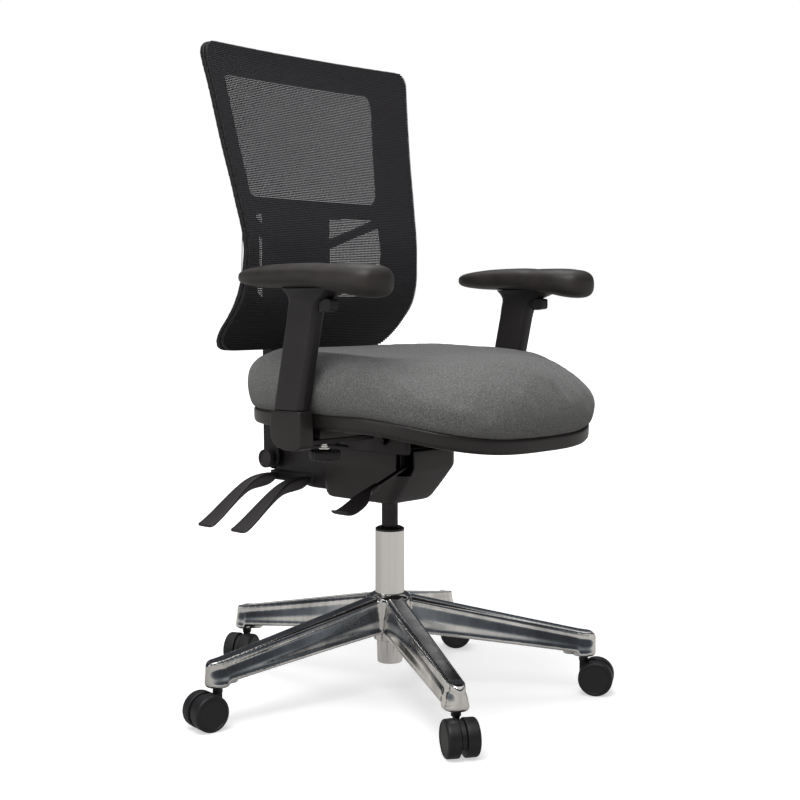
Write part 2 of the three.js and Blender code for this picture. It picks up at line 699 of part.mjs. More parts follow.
// ---------- back ----------
// A value given at equal steps of height, read at any height between the bottom and the top of the back.
function atHeight(values, z) {
  const t = clamp((z - BACK.bottom) / (BACK.top - BACK.bottom), 0, 1);
  return new THREE.SplineCurve(values.map((v, i) => new THREE.Vector2(i, v))).getPoint(t).y;
}

function backHalfWidth(z) {
  const { bottom, top, topCorner, bottomCorner, halfWidths } = BACK;
  const round = (radius, away) =>
    away < radius ? radius - Math.sqrt(radius ** 2 - (radius - away) ** 2) : 0;
  return atHeight(halfWidths, z) - round(topCorner, top - z) - round(bottomCorner, z - bottom);
}

// The bow fades in over the lowest stretch, so that the bottom edge is straight.
const backBow = (x, z) => {
  const fade = smooth(clamp((z - BACK.bottom) / 150, 0, 1));
  return BACK.bow * (1 - (x / atHeight(BACK.halfWidths, z)) ** 2) * fade;
};

const backFront = (x, z) => atHeight(BACK.fronts, z) + backBow(x, z);

// How deep the rear frame is dished at x, z: nothing at the edge, all of it past the rim.
function dishAt(x, z) {
  const across = atHeight(BACK.halfWidths, z) - Math.abs(x);
  const away = Math.min(across, BACK.top - z, z - BACK.bottom + 20);
  return BACK.dish * smooth(clamp(away / BACK.rimWidth, 0, 1));
}

function backHeights(rows) {
  const { bottom, top, topCorner, bottomCorner } = BACK;
  const lower = [0, 0.15, 0.5, 1].map((t) => bottom + t * bottomCorner);
  const upper = [1, 0.5, 0.15, 0].map((t) => top - t * topCorner);
  const span0 = bottom + bottomCorner;
  const step = (top - topCorner - span0) / rows;
  const middle = Array.from({ length: rows - 1 }, (_, k) => span0 + step * (k + 1));
  return [...lower, ...middle, ...upper];
}

// A curved sheet over the whole back, between two offsets behind the front surface.
function backSheet(near, far, columns) {
  const shares = Array.from({ length: columns + 1 }, (_, k) => -1 + (2 * k) / columns);
  return loft(
    backHeights(9).map((z) => {
      const half = backHalfWidth(z);
      const front = shares.map((s) => [s * half, backFront(s * half, z) + near(s * half, z), z]);
      const rear = shares.map((s) => [s * half, backFront(s * half, z) + far(s * half, z), z]);
      return [...front, ...rear.reverse()];
    }),
  );
}

const backWindow = (points, radius) => alongYaxis(roundedOutline(points, radius), 60, 300);

const backMesh = () => backSheet(() => 0, () => 1.6, 8);

function meshFrame() {
  const window = [
    [-178, 690], [178, 690], [178, 770], [188, 900], [208, 1080], [-208, 1080], [-188, 900], [-178, 770],
  ];
  return cut(backSheet(() => 2, () => 9, 8), backWindow(window, 18));
}

function backFrame() {
  const { halfWidth, frontY, rearY } = UPRIGHT;
  const sheet = backSheet((x, z) => 9.5 + dishAt(x, z), (x, z) => 20 + dishAt(x, z), 12);
  const upper = [[-157, 857], [157, 857], [184, 1063], [-184, 1063]];
  const lower = [[-147, 692], [147, 692], [151, 830], [-151, 830]];
  const cavity = box(-halfWidth - 1, halfWidth + 1, frontY - 1, rearY + 1, 560, 848);
  const sleeve = raised(
    rectangle(-halfWidth - 11, halfWidth + 11, frontY - 10, rearY + 8, 8), 575, 858,
  );
  const shelf = box(-halfWidth - 4, halfWidth + 4, 176, frontY - 8, 828, 858);
  const foot = box(-halfWidth - 4, halfWidth + 4, 207, frontY - 8, 612, 640);
  const struts = [-1, 1].map((s) => bar([s * 66, 224, 782], [s * 160, 176, 826], 8.5, 10));
  const ring = cut(sheet, backWindow(upper, 24), backWindow(lower, 20));
  return join(ring, sleeve, shelf, foot, ...struts).subtract(cavity);
}

function backUpright() {
  const { halfWidth, frontY, rearY, straightFrom, top } = UPRIGHT;
  const { y, z } = RECLINE_PIVOT;
  const spine = outline([
    [frontY + 14, 452], [rearY + 16, 452], [rearY + 4, 530], [rearY, straightFrom], [rearY, top],
    [frontY, top], [frontY, straightFrom], [frontY + 4, 530],
  ]);
  const cheek = new THREE.Shape();
  cheek.moveTo(y + 21, 480);
  cheek.lineTo(y - 6, 480);
  cheek.lineTo(y - 20, z + 6);
  cheek.absarc(y, z, 20, radians(163), radians(360), false);
  const cheeks = [-1, 1].map((s) => alongXaxis(cheek, ...span(s, halfWidth - 8, halfWidth)));
  const made = join(alongXaxis(spine, -halfWidth, halfWidth), ...cheeks);
  return cut(made, pivotBar(RECLINE_PIVOT, 80, GAP));
}

// ---------- putting it together ----------
add("star_base", starBase(), ALUMINIUM);
for (let i = 0; i < 5; i += 1) {
  const matrix = casterMatrix(i);
  const n = i + 1;
  add(`caster_hood_${n}`, casterHood(matrix), CASTER_PLASTIC);
  add(`caster_axle_${n}`, casterAxle(matrix), STEEL);
  add(`caster_wheel_${n}a`, casterWheel(matrix, 1), CASTER_PLASTIC);
  add(`caster_wheel_${n}b`, casterWheel(matrix, -1), CASTER_PLASTIC);
}
add("column_tube", columnTube(), STEEL);
add("guide_bush", guideBush(), PLASTIC);
add("gas_cylinder", gasCylinder(), BLACK_STEEL);
add("piston_rod", pistonRod(), STEEL);
add("thrust_bearing", thrustBearing(), BRASS);
add("retaining_clip", retainingClip(), STEEL);

add("mech_housing", mechHousing(), BLACK_STEEL);
add("mech_cover", mechCover(), PLASTIC);
add("tilt_shaft", tiltShaft(), STEEL);
add("recline_shaft", reclineShaft(), STEEL);
add("pivot_cap_right", pivotCap(-1), PLASTIC);
add("pivot_cap_left", pivotCap(1), PLASTIC);
add("tilt_spring", tiltSpring(), STEEL);
add("lift_lever_rod", liftRod(), STEEL);
add("lift_lever_paddle", liftPaddle(), PLASTIC);
add("seat_tilt_lever", tiltLever(155), PLASTIC);
add("back_tilt_lever", tiltLever(235), PLASTIC);

add("seat_plate", seatPlate(), BLACK_STEEL);
add("seat_shell", seatShell(), PLASTIC);
add("seat_board", seatBoard(), PLYWOOD);
add("seat_cushion", seatCushion(), FABRIC);

for (const [name, side] of [["right", -1], ["left", 1]]) {
  add(`arm_bracket_${name}`, armBracket(side), BLACK_STEEL);
  add(`arm_lower_cover_${name}`, armLowerCover(side), PLASTIC);
  add(`arm_sleeve_${name}`, armSleeve(side), PLASTIC);
  add(`arm_pad_support_${name}`, armPadSupport(side), PLASTIC);
  add(`arm_pad_${name}`, armPad(side), PAD_RUBBER);
  add(`arm_height_button_${name}`, heightButton(side), PLASTIC);
  add(`arm_width_knob_${name}`, armKnob(side), PLASTIC);
}

add("back_upright", backUpright(), BLACK_STEEL);
add("back_frame", backFrame(), PLASTIC);
add("mesh_frame", meshFrame(), PLASTIC);
add("back_mesh", backMesh(), MESH_CLOTH);

// The origin is the bottom centre of the whole chair's box.
const bounds = new THREE.Box3().setFromObject(chair, true);
const centre = bounds.getCenter(new THREE.Vector3());
chair.position.set(-centre.x, -centre.y, -bounds.min.z);
chair.updateMatrixWorld(true);

export default chair;
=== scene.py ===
"""The looks of a mesh-back office task chair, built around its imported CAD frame.

Lengths in the shape code are millimetres in the chair's working frame: the column's axis is x = y = 0, the
chair faces -Y and the sitter's right is -X. place() turns them into metres in the row frame.
"""
import math

import bmesh
import bpy
import numpy as np
from mathutils import Matrix, Vector


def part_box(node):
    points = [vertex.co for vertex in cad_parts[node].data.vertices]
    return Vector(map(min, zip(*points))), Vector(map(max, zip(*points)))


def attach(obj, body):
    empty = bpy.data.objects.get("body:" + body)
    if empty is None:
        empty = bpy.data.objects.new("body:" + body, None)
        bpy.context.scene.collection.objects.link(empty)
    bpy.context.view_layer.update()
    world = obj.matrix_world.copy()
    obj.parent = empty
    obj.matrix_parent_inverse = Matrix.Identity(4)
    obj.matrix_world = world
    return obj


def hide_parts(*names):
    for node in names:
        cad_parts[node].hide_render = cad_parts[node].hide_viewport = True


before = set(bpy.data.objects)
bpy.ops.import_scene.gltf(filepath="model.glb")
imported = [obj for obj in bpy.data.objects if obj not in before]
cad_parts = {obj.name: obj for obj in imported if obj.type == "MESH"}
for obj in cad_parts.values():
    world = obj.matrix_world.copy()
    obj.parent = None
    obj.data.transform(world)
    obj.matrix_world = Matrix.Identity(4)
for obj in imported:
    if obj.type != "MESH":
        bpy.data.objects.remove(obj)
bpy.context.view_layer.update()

# ---------- the working frame ----------
TUBE_TOP = 290.0  # height of the column tube's top in the working frame
tube_low, tube_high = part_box("column_tube")
ORIGIN = Vector((
    (tube_low.x + tube_high.x) / 2, (tube_low.y + tube_high.y) / 2, tube_high.z - TUBE_TOP / 1000,
))

BASE = dict(stem_circle=333, first_leg=24.3, hub_top=185.6, hub_bottom=121, tip_bottom=75.3,
            tip_round=20.8)  # the leg's end is round about the stem, with this radius
WHEEL = dict(radius=30, facets=18, width=21, web=8, gap=0.8)
SEAT = dict(half=236, front=-330, rear=177, middle=-50, front_power=3.0, rear_power=3.1, underside=482,
            band=25, drop=34, drop_start=-150, foam_top=114, dish=14)
ARM = dict(x=261, lean=0.218, lean_y=-37, lean_z=514, width=27, depth=63, sleeve_bottom=515, sleeve_top=676,
           pad_bottom=701, knob_x=190)
PAD_TOE = dict(rear_x=265, rear_y=14, inward=11, length=200)  # the pads point inward by 11 in 200
BACK = dict(bottom=597, top=1109, halves=[212, 210, 203.8, 211.5, 221.7, 231.8, 243],
            fronts=[201, 135, 120, 134, 152.8, 169, 184], bow=14, bow_fade=150, top_corner=26,
            bottom_corner=42, dish=24, dish_start=20, rim=64)
UPRIGHT = dict(half=60, front=222, rear=240)
SLEEVE = dict(half=71, front=212, rear=248, bottom=575, top=858)  # the back frame's slide on the upright
WINDOW_CUT = (60, 300)  # along Y, from well in front of the back to well behind it
LEVER_Y = dict(seat_tilt_lever=149, back_tilt_lever=235)
PADDLE_Y = -93
SIDES = [("right", -1), ("left", 1)]


def place(points):
    """Working-frame millimetres to row-frame metres."""
    return np.asarray(points, float) / 1000 + np.array(ORIGIN)


def smooth(t):
    return t * t * (3 - 2 * t)


def clamp(v, low, high):
    return min(high, max(low, v))


# ---------- materials ----------
def shader(name, color, roughness, metallic=0.0):
    material = bpy.data.materials.new(name)
    material.use_nodes = True
    bsdf = material.node_tree.nodes["Principled BSDF"]
    bsdf.inputs["Base Color"].default_value = (*color, 1)
    bsdf.inputs["Roughness"].default_value = roughness
    bsdf.inputs["Metallic"].default_value = metallic
    return material, material.node_tree, bsdf


def node(tree, kind, **values):
    made = tree.nodes.new(kind)
    for key, value in values.items():
        setattr(made, key, value)
    return made


def coordinates(tree, scale=(1, 1, 1)):
    source = node(tree, "ShaderNodeTexCoord")
    mapping = node(tree, "ShaderNodeMapping")
    mapping.inputs["Scale"].default_value = scale
    tree.links.new(source.outputs["Object"], mapping.inputs["Vector"])
    return mapping.outputs["Vector"]


def noise(tree, vector, scale, detail, roughness=0.5):
    made = node(tree, "ShaderNodeTexNoise")
    made.inputs["Scale"].default_value = scale
    made.inputs["Detail"].default_value = detail
    made.inputs["Roughness"].default_value = roughness
    tree.links.new(vector, made.inputs["Vector"])
    return made.outputs["Fac"]


def ramp(tree, fac, stops):
    made = node(tree, "ShaderNodeValToRGB")
    elements = made.color_ramp.elements
    while len(elements) < len(stops):
        elements.new(0.5)
    for element, (position, color) in zip(elements, stops):
        element.position = position
        element.color = (*color, 1)
    tree.links.new(fac, made.inputs["Fac"])
    return made.outputs["Color"]


def spread(tree, fac, low, high):
    made = node(tree, "ShaderNodeMapRange")
    made.inputs["To Min"].default_value = low
    made.inputs["To Max"].default_value = high
    made.inputs["From Min"].default_value = 0.25
    made.inputs["From Max"].default_value = 0.75
    tree.links.new(fac, made.inputs["Value"])
    return made.outputs["Result"]


def bump(tree, bsdf, height, strength, distance, normal=None):
    made = node(tree, "ShaderNodeBump")
    made.inputs["Strength"].default_value = strength
    made.inputs["Distance"].default_value = distance
    tree.links.new(height, made.inputs["Height"])
    if normal is not None:
        tree.links.new(normal, made.inputs["Normal"])
    tree.links.new(made.outputs["Normal"], bsdf.inputs["Normal"])
    return made.outputs["Normal"]


def moulded_plastic(name, color, roughness):
    """Injection-moulded plastic: a fine spark-eroded grain, with cloudy gloss and slight scuffing."""
    material, tree, bsdf = shader(name, color, roughness)
    vector = coordinates(tree)
    cloud = noise(tree, vector, 14, 4)
    fine = noise(tree, vector, 900, 2)
    dark, light = [tuple(c * k for c in color) for k in (0.82, 1.2)]
    tree.links.new(ramp(tree, cloud, [(0.3, dark), (0.7, light)]), bsdf.inputs["Base Color"])
    tree.links.new(spread(tree, cloud, roughness - 0.06, roughness + 0.07), bsdf.inputs["Roughness"])
    bump(tree, bsdf, fine, 0.35, 0.00006)
    return material


def metal(name, color, low, high, streak=(1, 1, 1), depth=0.00002):
    """Bare or polished metal, with polishing marks that run along one direction."""
    material, tree, bsdf = shader(name, color, low, 1.0)
    vector = coordinates(tree, streak)
    marks = noise(tree, vector, 60, 5, 0.6)
    cloud = noise(tree, vector, 18, 4)
    dark, light = [tuple(min(c * k, 1) for c in color) for k in (0.72, 1.10)]
    tree.links.new(ramp(tree, cloud, [(0.36, dark), (0.62, light)]), bsdf.inputs["Base Color"])
    tree.links.new(spread(tree, marks, low, high), bsdf.inputs["Roughness"])
    bump(tree, bsdf, marks, 0.25, depth)
    return material


def pad_skin():
    """Self-skinned polyurethane: soft leathery pebbling, faint sheen and worn, lighter patches."""
    material, tree, bsdf = shader("pad_skin", (0.047, 0.040, 0.037), 0.48)
    vector = coordinates(tree)
    cloud = noise(tree, vector, 22, 4)
    tree.links.new(
        ramp(tree, cloud, [(0.3, (0.021, 0.0175, 0.0155)), (0.72, (0.036, 0.030, 0.0265))]),
        bsdf.inputs["Base Color"],
    )
    tree.links.new(spread(tree, cloud, 0.42, 0.56), bsdf.inputs["Roughness"])
    pebble = node(tree, "ShaderNodeTexVoronoi")
    pebble.inputs["Scale"].default_value = 620
    tree.links.new(vector, pebble.inputs["Vector"])
    bump(tree, bsdf, pebble.outputs["Distance"], 0.3, 0.00015)
    bsdf.inputs["Sheen Weight"].default_value = 0.06
    return material


def wool_fabric():
    """Heathered grey upholstery cloth: a plain weave of flecked yarns."""
    material, tree, bsdf = shader("wool_fabric", (0.155, 0.155, 0.152), 0.95)
    vector = coordinates(tree)
    fleck = noise(tree, vector, 800, 2, 0.6)
    blot = noise(tree, vector, 430, 3, 0.65)
    mixed = node(tree, "ShaderNodeMath", operation="ADD")
    tree.links.new(fleck, mixed.inputs[0])
    tree.links.new(blot, mixed.inputs[1])
    half = node(tree, "ShaderNodeMath", operation="MULTIPLY")
    half.inputs[1].default_value = 0.5
    tree.links.new(mixed.outputs[0], half.inputs[0])
    tree.links.new(
        ramp(tree, half.outputs[0], [
            (0.36, (0.095, 0.095, 0.093)), (0.46, (0.158, 0.158, 0.155)),
            (0.54, (0.212, 0.212, 0.208)), (0.66, (0.320, 0.318, 0.308)),
        ]),
        bsdf.inputs["Base Color"],
    )
    yarns = []
    for direction in ("X", "Y", "Z"):
        wave = node(tree, "ShaderNodeTexWave", wave_type="BANDS", bands_direction=direction)
        wave.inputs["Scale"].default_value = 260
        wave.inputs["Distortion"].default_value = 2.5
        wave.inputs["Detail"].default_value = 2
        wave.inputs["Detail Scale"].default_value = 3
        tree.links.new(vector, wave.inputs["Vector"])
        yarns.append(wave.outputs["Fac"])
    total = yarns[0]
    for yarn in yarns[1:]:
        added = node(tree, "ShaderNodeMath", operation="ADD")
        tree.links.new(total, added.inputs[0])
        tree.links.new(yarn, added.inputs[1])
        total = added.outputs[0]
    first = bump(tree, bsdf, total, 0.45, 0.00035)
    bump(tree, bsdf, fleck, 0.35, 0.0004, first)
    bsdf.inputs["Sheen Weight"].default_value = 0.2
    bsdf.inputs["Sheen Roughness"].default_value = 0.5
    bsdf.inputs["Specular IOR Level"].default_value = 0.2
    return material


def mesh_yarn():
    """Polyester mesh yarn: near black, slightly lustrous, with twist along the strand."""
    material, tree, bsdf = shader("mesh_yarn", (0.0125, 0.0115, 0.0135), 0.6)
    vector = coordinates(tree)
    twist = noise(tree, vector, 700, 2)
    tree.links.new(
        ramp(tree, twist, [(0.35, (0.0145, 0.0125, 0.0165)), (0.65, (0.0285, 0.0250, 0.0310))]),
        bsdf.inputs["Base Color"],
    )
    tree.links.new(spread(tree, twist, 0.5, 0.7), bsdf.inputs["Roughness"])
    bump(tree, bsdf, twist, 0.4, 0.0001)
    bsdf.inputs["Sheen Weight"].default_value = 0.15
    return material


def wood():
    """Birch plywood, with its grain drawn out along one direction."""
    material, tree, bsdf = shader("birch_ply", (0.45, 0.30, 0.16), 0.7)
    grain = noise(tree, coordinates(tree, (1, 9, 40)), 12, 6, 0.65)
    tree.links.new(
        ramp(tree, grain, [(0.35, (0.33, 0.20, 0.10)), (0.65, (0.52, 0.36, 0.20))]), bsdf.inputs["Base Color"]
    )
    bump(tree, bsdf, grain, 0.3, 0.0002)
    return material


PLASTIC = moulded_plastic("charcoal_plastic", (0.0190, 0.0160, 0.0175), 0.42)
SHELL_PLASTIC = moulded_plastic("shell_plastic", (0.0235, 0.0192, 0.0190), 0.38)
LEVER_PLASTIC = moulded_plastic("lever_plastic", (0.034, 0.0295, 0.031), 0.44)
CASTER_PLASTIC = moulded_plastic("caster_plastic", (0.0125, 0.0122, 0.0138), 0.50)
FRAME_PLASTIC = moulded_plastic("frame_plastic", (0.0095, 0.0088, 0.0105), 0.50)
ALUMINIUM = metal("polished_aluminium", (0.80, 0.79, 0.775), 0.07, 0.20, (1, 1, 0.3), 0.000008)
CHROME = metal("column_steel", (0.86, 0.85, 0.83), 0.14, 0.30, (1, 1, 0.02), 0.000008)
BLACK_STEEL = metal("black_steel", (0.055, 0.052, 0.053), 0.32, 0.5)
BRASS = metal("bearing_brass", (0.60, 0.44, 0.18), 0.3, 0.45)
PAD_SKIN = pad_skin()
FABRIC = wool_fabric()
YARN = mesh_yarn()
PLYWOOD = wood()


# ---------- mesh tools ----------
def from_faces(name, points, faces):
    mesh = bpy.data.meshes.new(name)
    mesh.from_pydata([tuple(p) for p in place(points)], [], faces)
    mesh.validate()
    made = bpy.data.objects.new(name, mesh)
    bpy.context.scene.collection.objects.link(made)
    made_bmesh = bmesh.new()
    made_bmesh.from_mesh(mesh)
    bmesh.ops.remove_doubles(made_bmesh, verts=made_bmesh.verts, dist=1e-6)
    bmesh.ops.recalc_face_normals(made_bmesh, faces=made_bmesh.faces)
    made_bmesh.to_mesh(mesh)
    made_bmesh.free()
    return made


def loft(name, rings, wrap=False):
    """A closed skin over rings of the same number of points. wrap joins the last ring to the first."""
    count, rows = len(rings[0]), len(rings)
    points = [p for ring in rings for p in ring]
    faces = []
    for i in range(rows if wrap else rows - 1):
        for j in range(count):
            k, n = (j + 1) % count, (i + 1) % rows
            faces.append((i * count + j, i * count + k, n * count + k, n * count + j))
    if not wrap:
        faces += [tuple(range(count))[::-1], tuple((rows - 1) * count + j for j in range(count))]
    return from_faces(name, points, faces)


def lathe(name, profile, centre=(0, 0, 0), axis="Z", sides=96, turn=None):
    """A profile of (radius, height) turned about an axis; a zero radius closes an end."""
    rings = []
    for radius, height in profile:
        ring = []
        for k in range(sides):
            angle = 2 * math.pi * k / sides
            a, b = max(radius, 0.01) * math.cos(angle), max(radius, 0.01) * math.sin(angle)
            ring.append({"Z": (a, b, height), "X": (height, a, b), "Y": (b, height, a)}[axis])
        rings.append(ring)
    points = np.array(rings, float).reshape(-1, 3)
    if turn is not None:
        points = points @ np.array(turn).T
    points = points + np.array(centre, float)
    closed = abs(profile[0][0] - profile[-1][0]) < 1e-6 and abs(profile[0][1] - profile[-1][1]) < 1e-6
    shaped = points.reshape(len(profile), sides, 3)
    return loft(name, shaped[:-1] if closed else shaped, wrap=closed)


def arc(cx, cy, radius, start, end, steps=6):
    """Points (x, y) along an arc, in degrees."""
    return [
        (cx + radius * math.cos(math.radians(start + (end - start) * k / steps)),
         cy + radius * math.sin(math.radians(start + (end - start) * k / steps)))
        for k in range(steps + 1)
    ]


def superellipse(half_a, half_b, power, count):
    points = []
    for k in range(count):
        angle = 2 * math.pi * k / count
        c, s = math.cos(angle), math.sin(angle)
        a, b = (math.copysign(abs(v) ** (2 / power), v) for v in (c, s))
        points.append((half_a * a, half_b * b))
    return points


def rounded_rectangle(half_x, y0, y1, z, radius):
    ring = []
    for cx, cy, start in ((half_x - radius, y1 - radius, 0), (radius - half_x, y1 - radius, 90),
                          (radius - half_x, y0 + radius, 180), (half_x - radius, y0 + radius, 270)):
        ring += [(x, y, z) for x, y in arc(cx, cy, radius, start, start + 90, 8)]
    return ring


def round_ring(radius_at, z, centre=(0, 0)):
    """A ring round a vertical axis, with a radius that depends on the angle."""
    ring, sides = [], 144
    for k in range(sides):
        angle = 2 * math.pi * k / sides
        radius = radius_at(angle)
        ring.append((centre[0] + radius * math.cos(angle), centre[1] + radius * math.sin(angle), z))
    return ring


def catmull_rom(p, w):
    """The smooth curve through four stations, at share w of the way from the second to the third."""
    v0, v1 = (p[2] - p[0]) * 0.5, (p[3] - p[1]) * 0.5
    cubic = (2 * p[1] - 2 * p[2] + v0 + v1) * w**3
    return cubic + (-3 * p[1] + 3 * p[2] - 2 * v0 - v1) * w**2 + v0 * w + p[1]


def spline(stations, count):
    """A smooth run of rows through the stations."""
    rows = np.array(stations, float)
    n = len(rows) - 1
    out = []
    for t in np.linspace(0, n, count):
        i = min(int(t), n - 1)
        out.append(catmull_rom([rows[max(i - 1, 0)], rows[i], rows[i + 1], rows[min(i + 2, n)]], t - i))
    return out


def select_only(piece):
    bpy.ops.object.select_all(action="DESELECT")
    piece.select_set(True)
    bpy.context.view_layer.objects.active = piece


def apply_modifiers(piece):
    select_only(piece)
    for modifier in list(piece.modifiers):
        bpy.ops.object.modifier_apply(modifier=modifier.name)


def joined(name, pieces):
    select_only(pieces[0])
    for piece in pieces[1:]:
        piece.select_set(True)
    bpy.ops.object.join()
    pieces[0].name = pieces[0].data.name = name
    return pieces[0]


def remeshed(piece, voxel, rounds):
    """Fuses overlapping closed shells and rounds their edges, as a casting or a moulding is."""
    modifier = piece.modifiers.new("fuse", "REMESH")
    modifier.mode = "VOXEL"
    modifier.voxel_size = voxel / 1000
    soften = piece.modifiers.new("soften", "SMOOTH")
    soften.iterations, soften.factor = rounds, 0.5
    apply_modifiers(piece)
    piece.data.shade_smooth()
    return piece


def shade(piece, degrees=35):
    select_only(piece)
    bpy.ops.object.shade_smooth_by_angle(angle=math.radians(degrees))
    return piece


def bevelled(piece, width, segments=3, degrees=30):
    modifier = piece.modifiers.new("bevel", "BEVEL")
    modifier.width = width / 1000
    modifier.segments = segments
    modifier.limit_method = "ANGLE"
    modifier.angle_limit = math.radians(degrees)
    apply_modifiers(piece)
    return shade(piece, 40)


def rounded_box(name, xs, ys, zs, width=2.0):
    corners = [(x, y, z) for z in zs
               for x, y in ((xs[0], ys[0]), (xs[1], ys[0]), (xs[1], ys[1]), (xs[0], ys[1]))]
    faces = [(0, 3, 2, 1), (4, 5, 6, 7), (0, 1, 5, 4), (1, 2, 6, 5), (2, 3, 7, 6), (3, 0, 4, 7)]
    return bevelled(from_faces(name, corners, faces), width)


def rounded_prism(name, corners, radius):
    """A block along Y with a rounded outline of (x, z) corners, used to cut windows."""
    outline, steps = [], 8
    n = len(corners)
    for i in range(n):
        here = Vector(corners[i])
        enter = here + (Vector(corners[i - 1]) - here).normalized() * radius
        leave = here + (Vector(corners[(i + 1) % n]) - here).normalized() * radius
        for k in range(steps + 1):
            t = k / steps
            outline.append((1 - t) ** 2 * enter + 2 * t * (1 - t) * here + t * t * leave)
    rings = [[(p.x, y, p.y) for p in outline] for y in WINDOW_CUT]
    return loft(name, rings)


def minus(piece, cutter):
    modifier = piece.modifiers.new("cut", "BOOLEAN")
    modifier.operation = "DIFFERENCE"
    modifier.solver = "EXACT"
    modifier.object = cutter
    apply_modifiers(piece)
    bpy.data.objects.remove(cutter)
    return piece


def copy_of(cad_node, name):
    """A new object on a copy of a CAD node's mesh."""
    made = bpy.data.objects.new(name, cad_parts[cad_node].data.copy())
    bpy.context.scene.collection.objects.link(made)
    return made


def dress(piece, material, body, slot, *replaced):
    """Gives a piece its material and its body, and hides the CAD nodes it stands for; slot is not used."""
    piece.data.materials.clear()
    piece.data.materials.append(material)
    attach(piece, body)
    if replaced:
        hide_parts(*replaced)
    return piece


def rounded_node(cad_node, material, body, slot, voxel, rounds):
    """A CAD node whose shape is right, with its edges rounded."""
    piece = remeshed(copy_of(cad_node, cad_node + "_moulded"), voxel, rounds)
    return dress(piece, material, body, slot, cad_node)


def repaint(cad_node, material):
    """A better material for a CAD node that stays as it is."""
    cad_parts[cad_node].data.materials.clear()
    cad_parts[cad_node].data.materials.append(material)


def middle_of(cad_node):
    """The centre of a CAD node's box, in the working frame."""
    low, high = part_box(cad_node)
    return (np.array((low + high) / 2) - np.array(ORIGIN)) * 1000


# ---------- base ----------
def leg_angle(i):
    return math.radians(BASE["first_leg"] + 72 * i)


def turned_plan(points, angle):
    c, s = math.cos(angle), math.sin(angle)
    return [(x * c - y * s, x * s + y * c, z) for x, y, z in points]


def leg_section(x):
    """A leg's crowned section, at x from the hub's axis: flat crest, bevels, sides and lower lip."""
    stations = [16, 120, 230, 329, 354]
    bottom = np.interp(x, stations, [121, 109, 95, 82, 80])
    top = np.interp(x, stations, [184, 162, 139, 118.6, 116.5])
    foot = np.interp(x, stations, [24, 23, 21.5, 20.5, 20.5])
    shoulder = np.interp(x, stations, [23, 22, 20.5, 19.2, 18.2])
    crest = np.interp(x, stations, [10, 10.5, 10.5, 10.5, 9.5])
    past = clamp((x - BASE["stem_circle"]) / BASE["tip_round"], 0, 1)
    round_off = math.sqrt(1 - past**2)
    top -= 7 * past**5
    if x > BASE["stem_circle"] - 12:
        bottom = BASE["tip_bottom"] + 1 + 2 * past**6
    right = [
        (0, bottom), (foot * 0.6, bottom), (foot - 1.5, bottom), (foot, bottom + 2), (foot, bottom + 5),
        (foot - 1.4, bottom + 9), ((foot + shoulder) / 2 - 2.0, bottom * 0.6 + top * 0.4),
        (shoulder - 5.4, top - 12), (shoulder - 5, top - 8), (shoulder - 6, top - 5),
        (crest + 3, top - 1.2), (crest, top), (crest - 0.8, top - 0.7), (0, top - 0.9),
    ]
    right = [(y * max(round_off, 0.02), z) for y, z in right]
    left = [(-y, z) for y, z in right[1:-1]][::-1]
    return [(x, y, z) for y, z in right + left]


def star_base():
    hub_top, hub_bottom, stem = BASE["hub_top"], BASE["hub_bottom"], BASE["stem_circle"]
    tip_bottom = BASE["tip_bottom"]
    shells = [lathe("hub", [
        (0, hub_bottom - 3), (28, hub_bottom - 3), (34, hub_bottom), (36, hub_bottom + 6), (36, hub_top - 16),
        *arc(27, hub_top - 10, 9, 0, 90), (0, hub_top - 1),
    ])]
    along = [*np.linspace(16, 320, 34), *(stem + 20.7 * np.sin(np.linspace(-0.5, 1.555, 16)))]
    for i in range(5):
        angle = leg_angle(i)
        shells.append(loft("leg", [turned_plan(leg_section(x), angle) for x in along]))
        cx, cy = stem * math.cos(angle), stem * math.sin(angle)
        shells.append(lathe("tip", [
            (0, tip_bottom), (18, tip_bottom), (19.6, tip_bottom + 2), (18, 84), (0, 84),
        ], (cx, cy, 0)))
        flange = turned_plan([(stem - 24, 0, 0)], angle)[0]
        shells.append(lathe("flange", [(0, tip_bottom + 2.5), (11, tip_bottom + 2.5), (12, 90), (0, 90)],
                            (flange[0], flange[1], 0)))
        between = angle + math.radians(36)
        pillar = turned_plan([(30, 0, 0)], between)[0]
        shells.append(lathe("pillar", [
            (0, hub_bottom - 1), (10, hub_bottom - 1), (11.5, hub_bottom + 2), (11.5, hub_top - 16),
            *arc(4, hub_top - 11, 7.5, 0, 90), (0, hub_top - 3),
        ], (pillar[0], pillar[1], 0)))
    base = remeshed(joined("star_base_casting", shells), 1.7, 7)
    return dress(base, ALUMINIUM, "base", "polished_aluminium", "star_base")


def hub_barrel():
    """The collar and the fluted barrel under the hub."""
    flutes, flute_depth = 12, 2.2
    # radius, height and the flutes' share of their depth
    profile = [(20, 63.6, 0), (21.2, 64.4, 0.3), (21.6, 67, 0.8), (22.4, 99, 0.8), (22.6, 102, 0.2),
               (22.6, 103.8, 0), (27, 103.8, 0), (28, 104.8, 0), (28.2, 119, 0), (28.2, 122, 0)]
    rings = []
    for radius, z, share in profile:
        rings.append(round_ring(
            lambda angle: radius - flute_depth * share * max(0, math.cos(flutes * angle)) ** 8, z,
        ))
    barrel = shade(loft("hub_barrel", rings), 40)
    return dress(barrel, ALUMINIUM, "base", "polished_aluminium", "star_base")


AXLE_HEIGHT = WHEEL["radius"] * math.cos(math.pi / WHEEL["facets"])


def caster_place(n):
    """A caster's axle centre, and its heading from the stem, from its CAD node."""
    angle = leg_angle(n - 1)
    stem = np.array([BASE["stem_circle"] * math.cos(angle), BASE["stem_circle"] * math.sin(angle)])
    middle = middle_of(f"caster_axle_{n}")
    trail = middle[:2] - stem
    return middle, math.atan2(trail[1], trail[0])


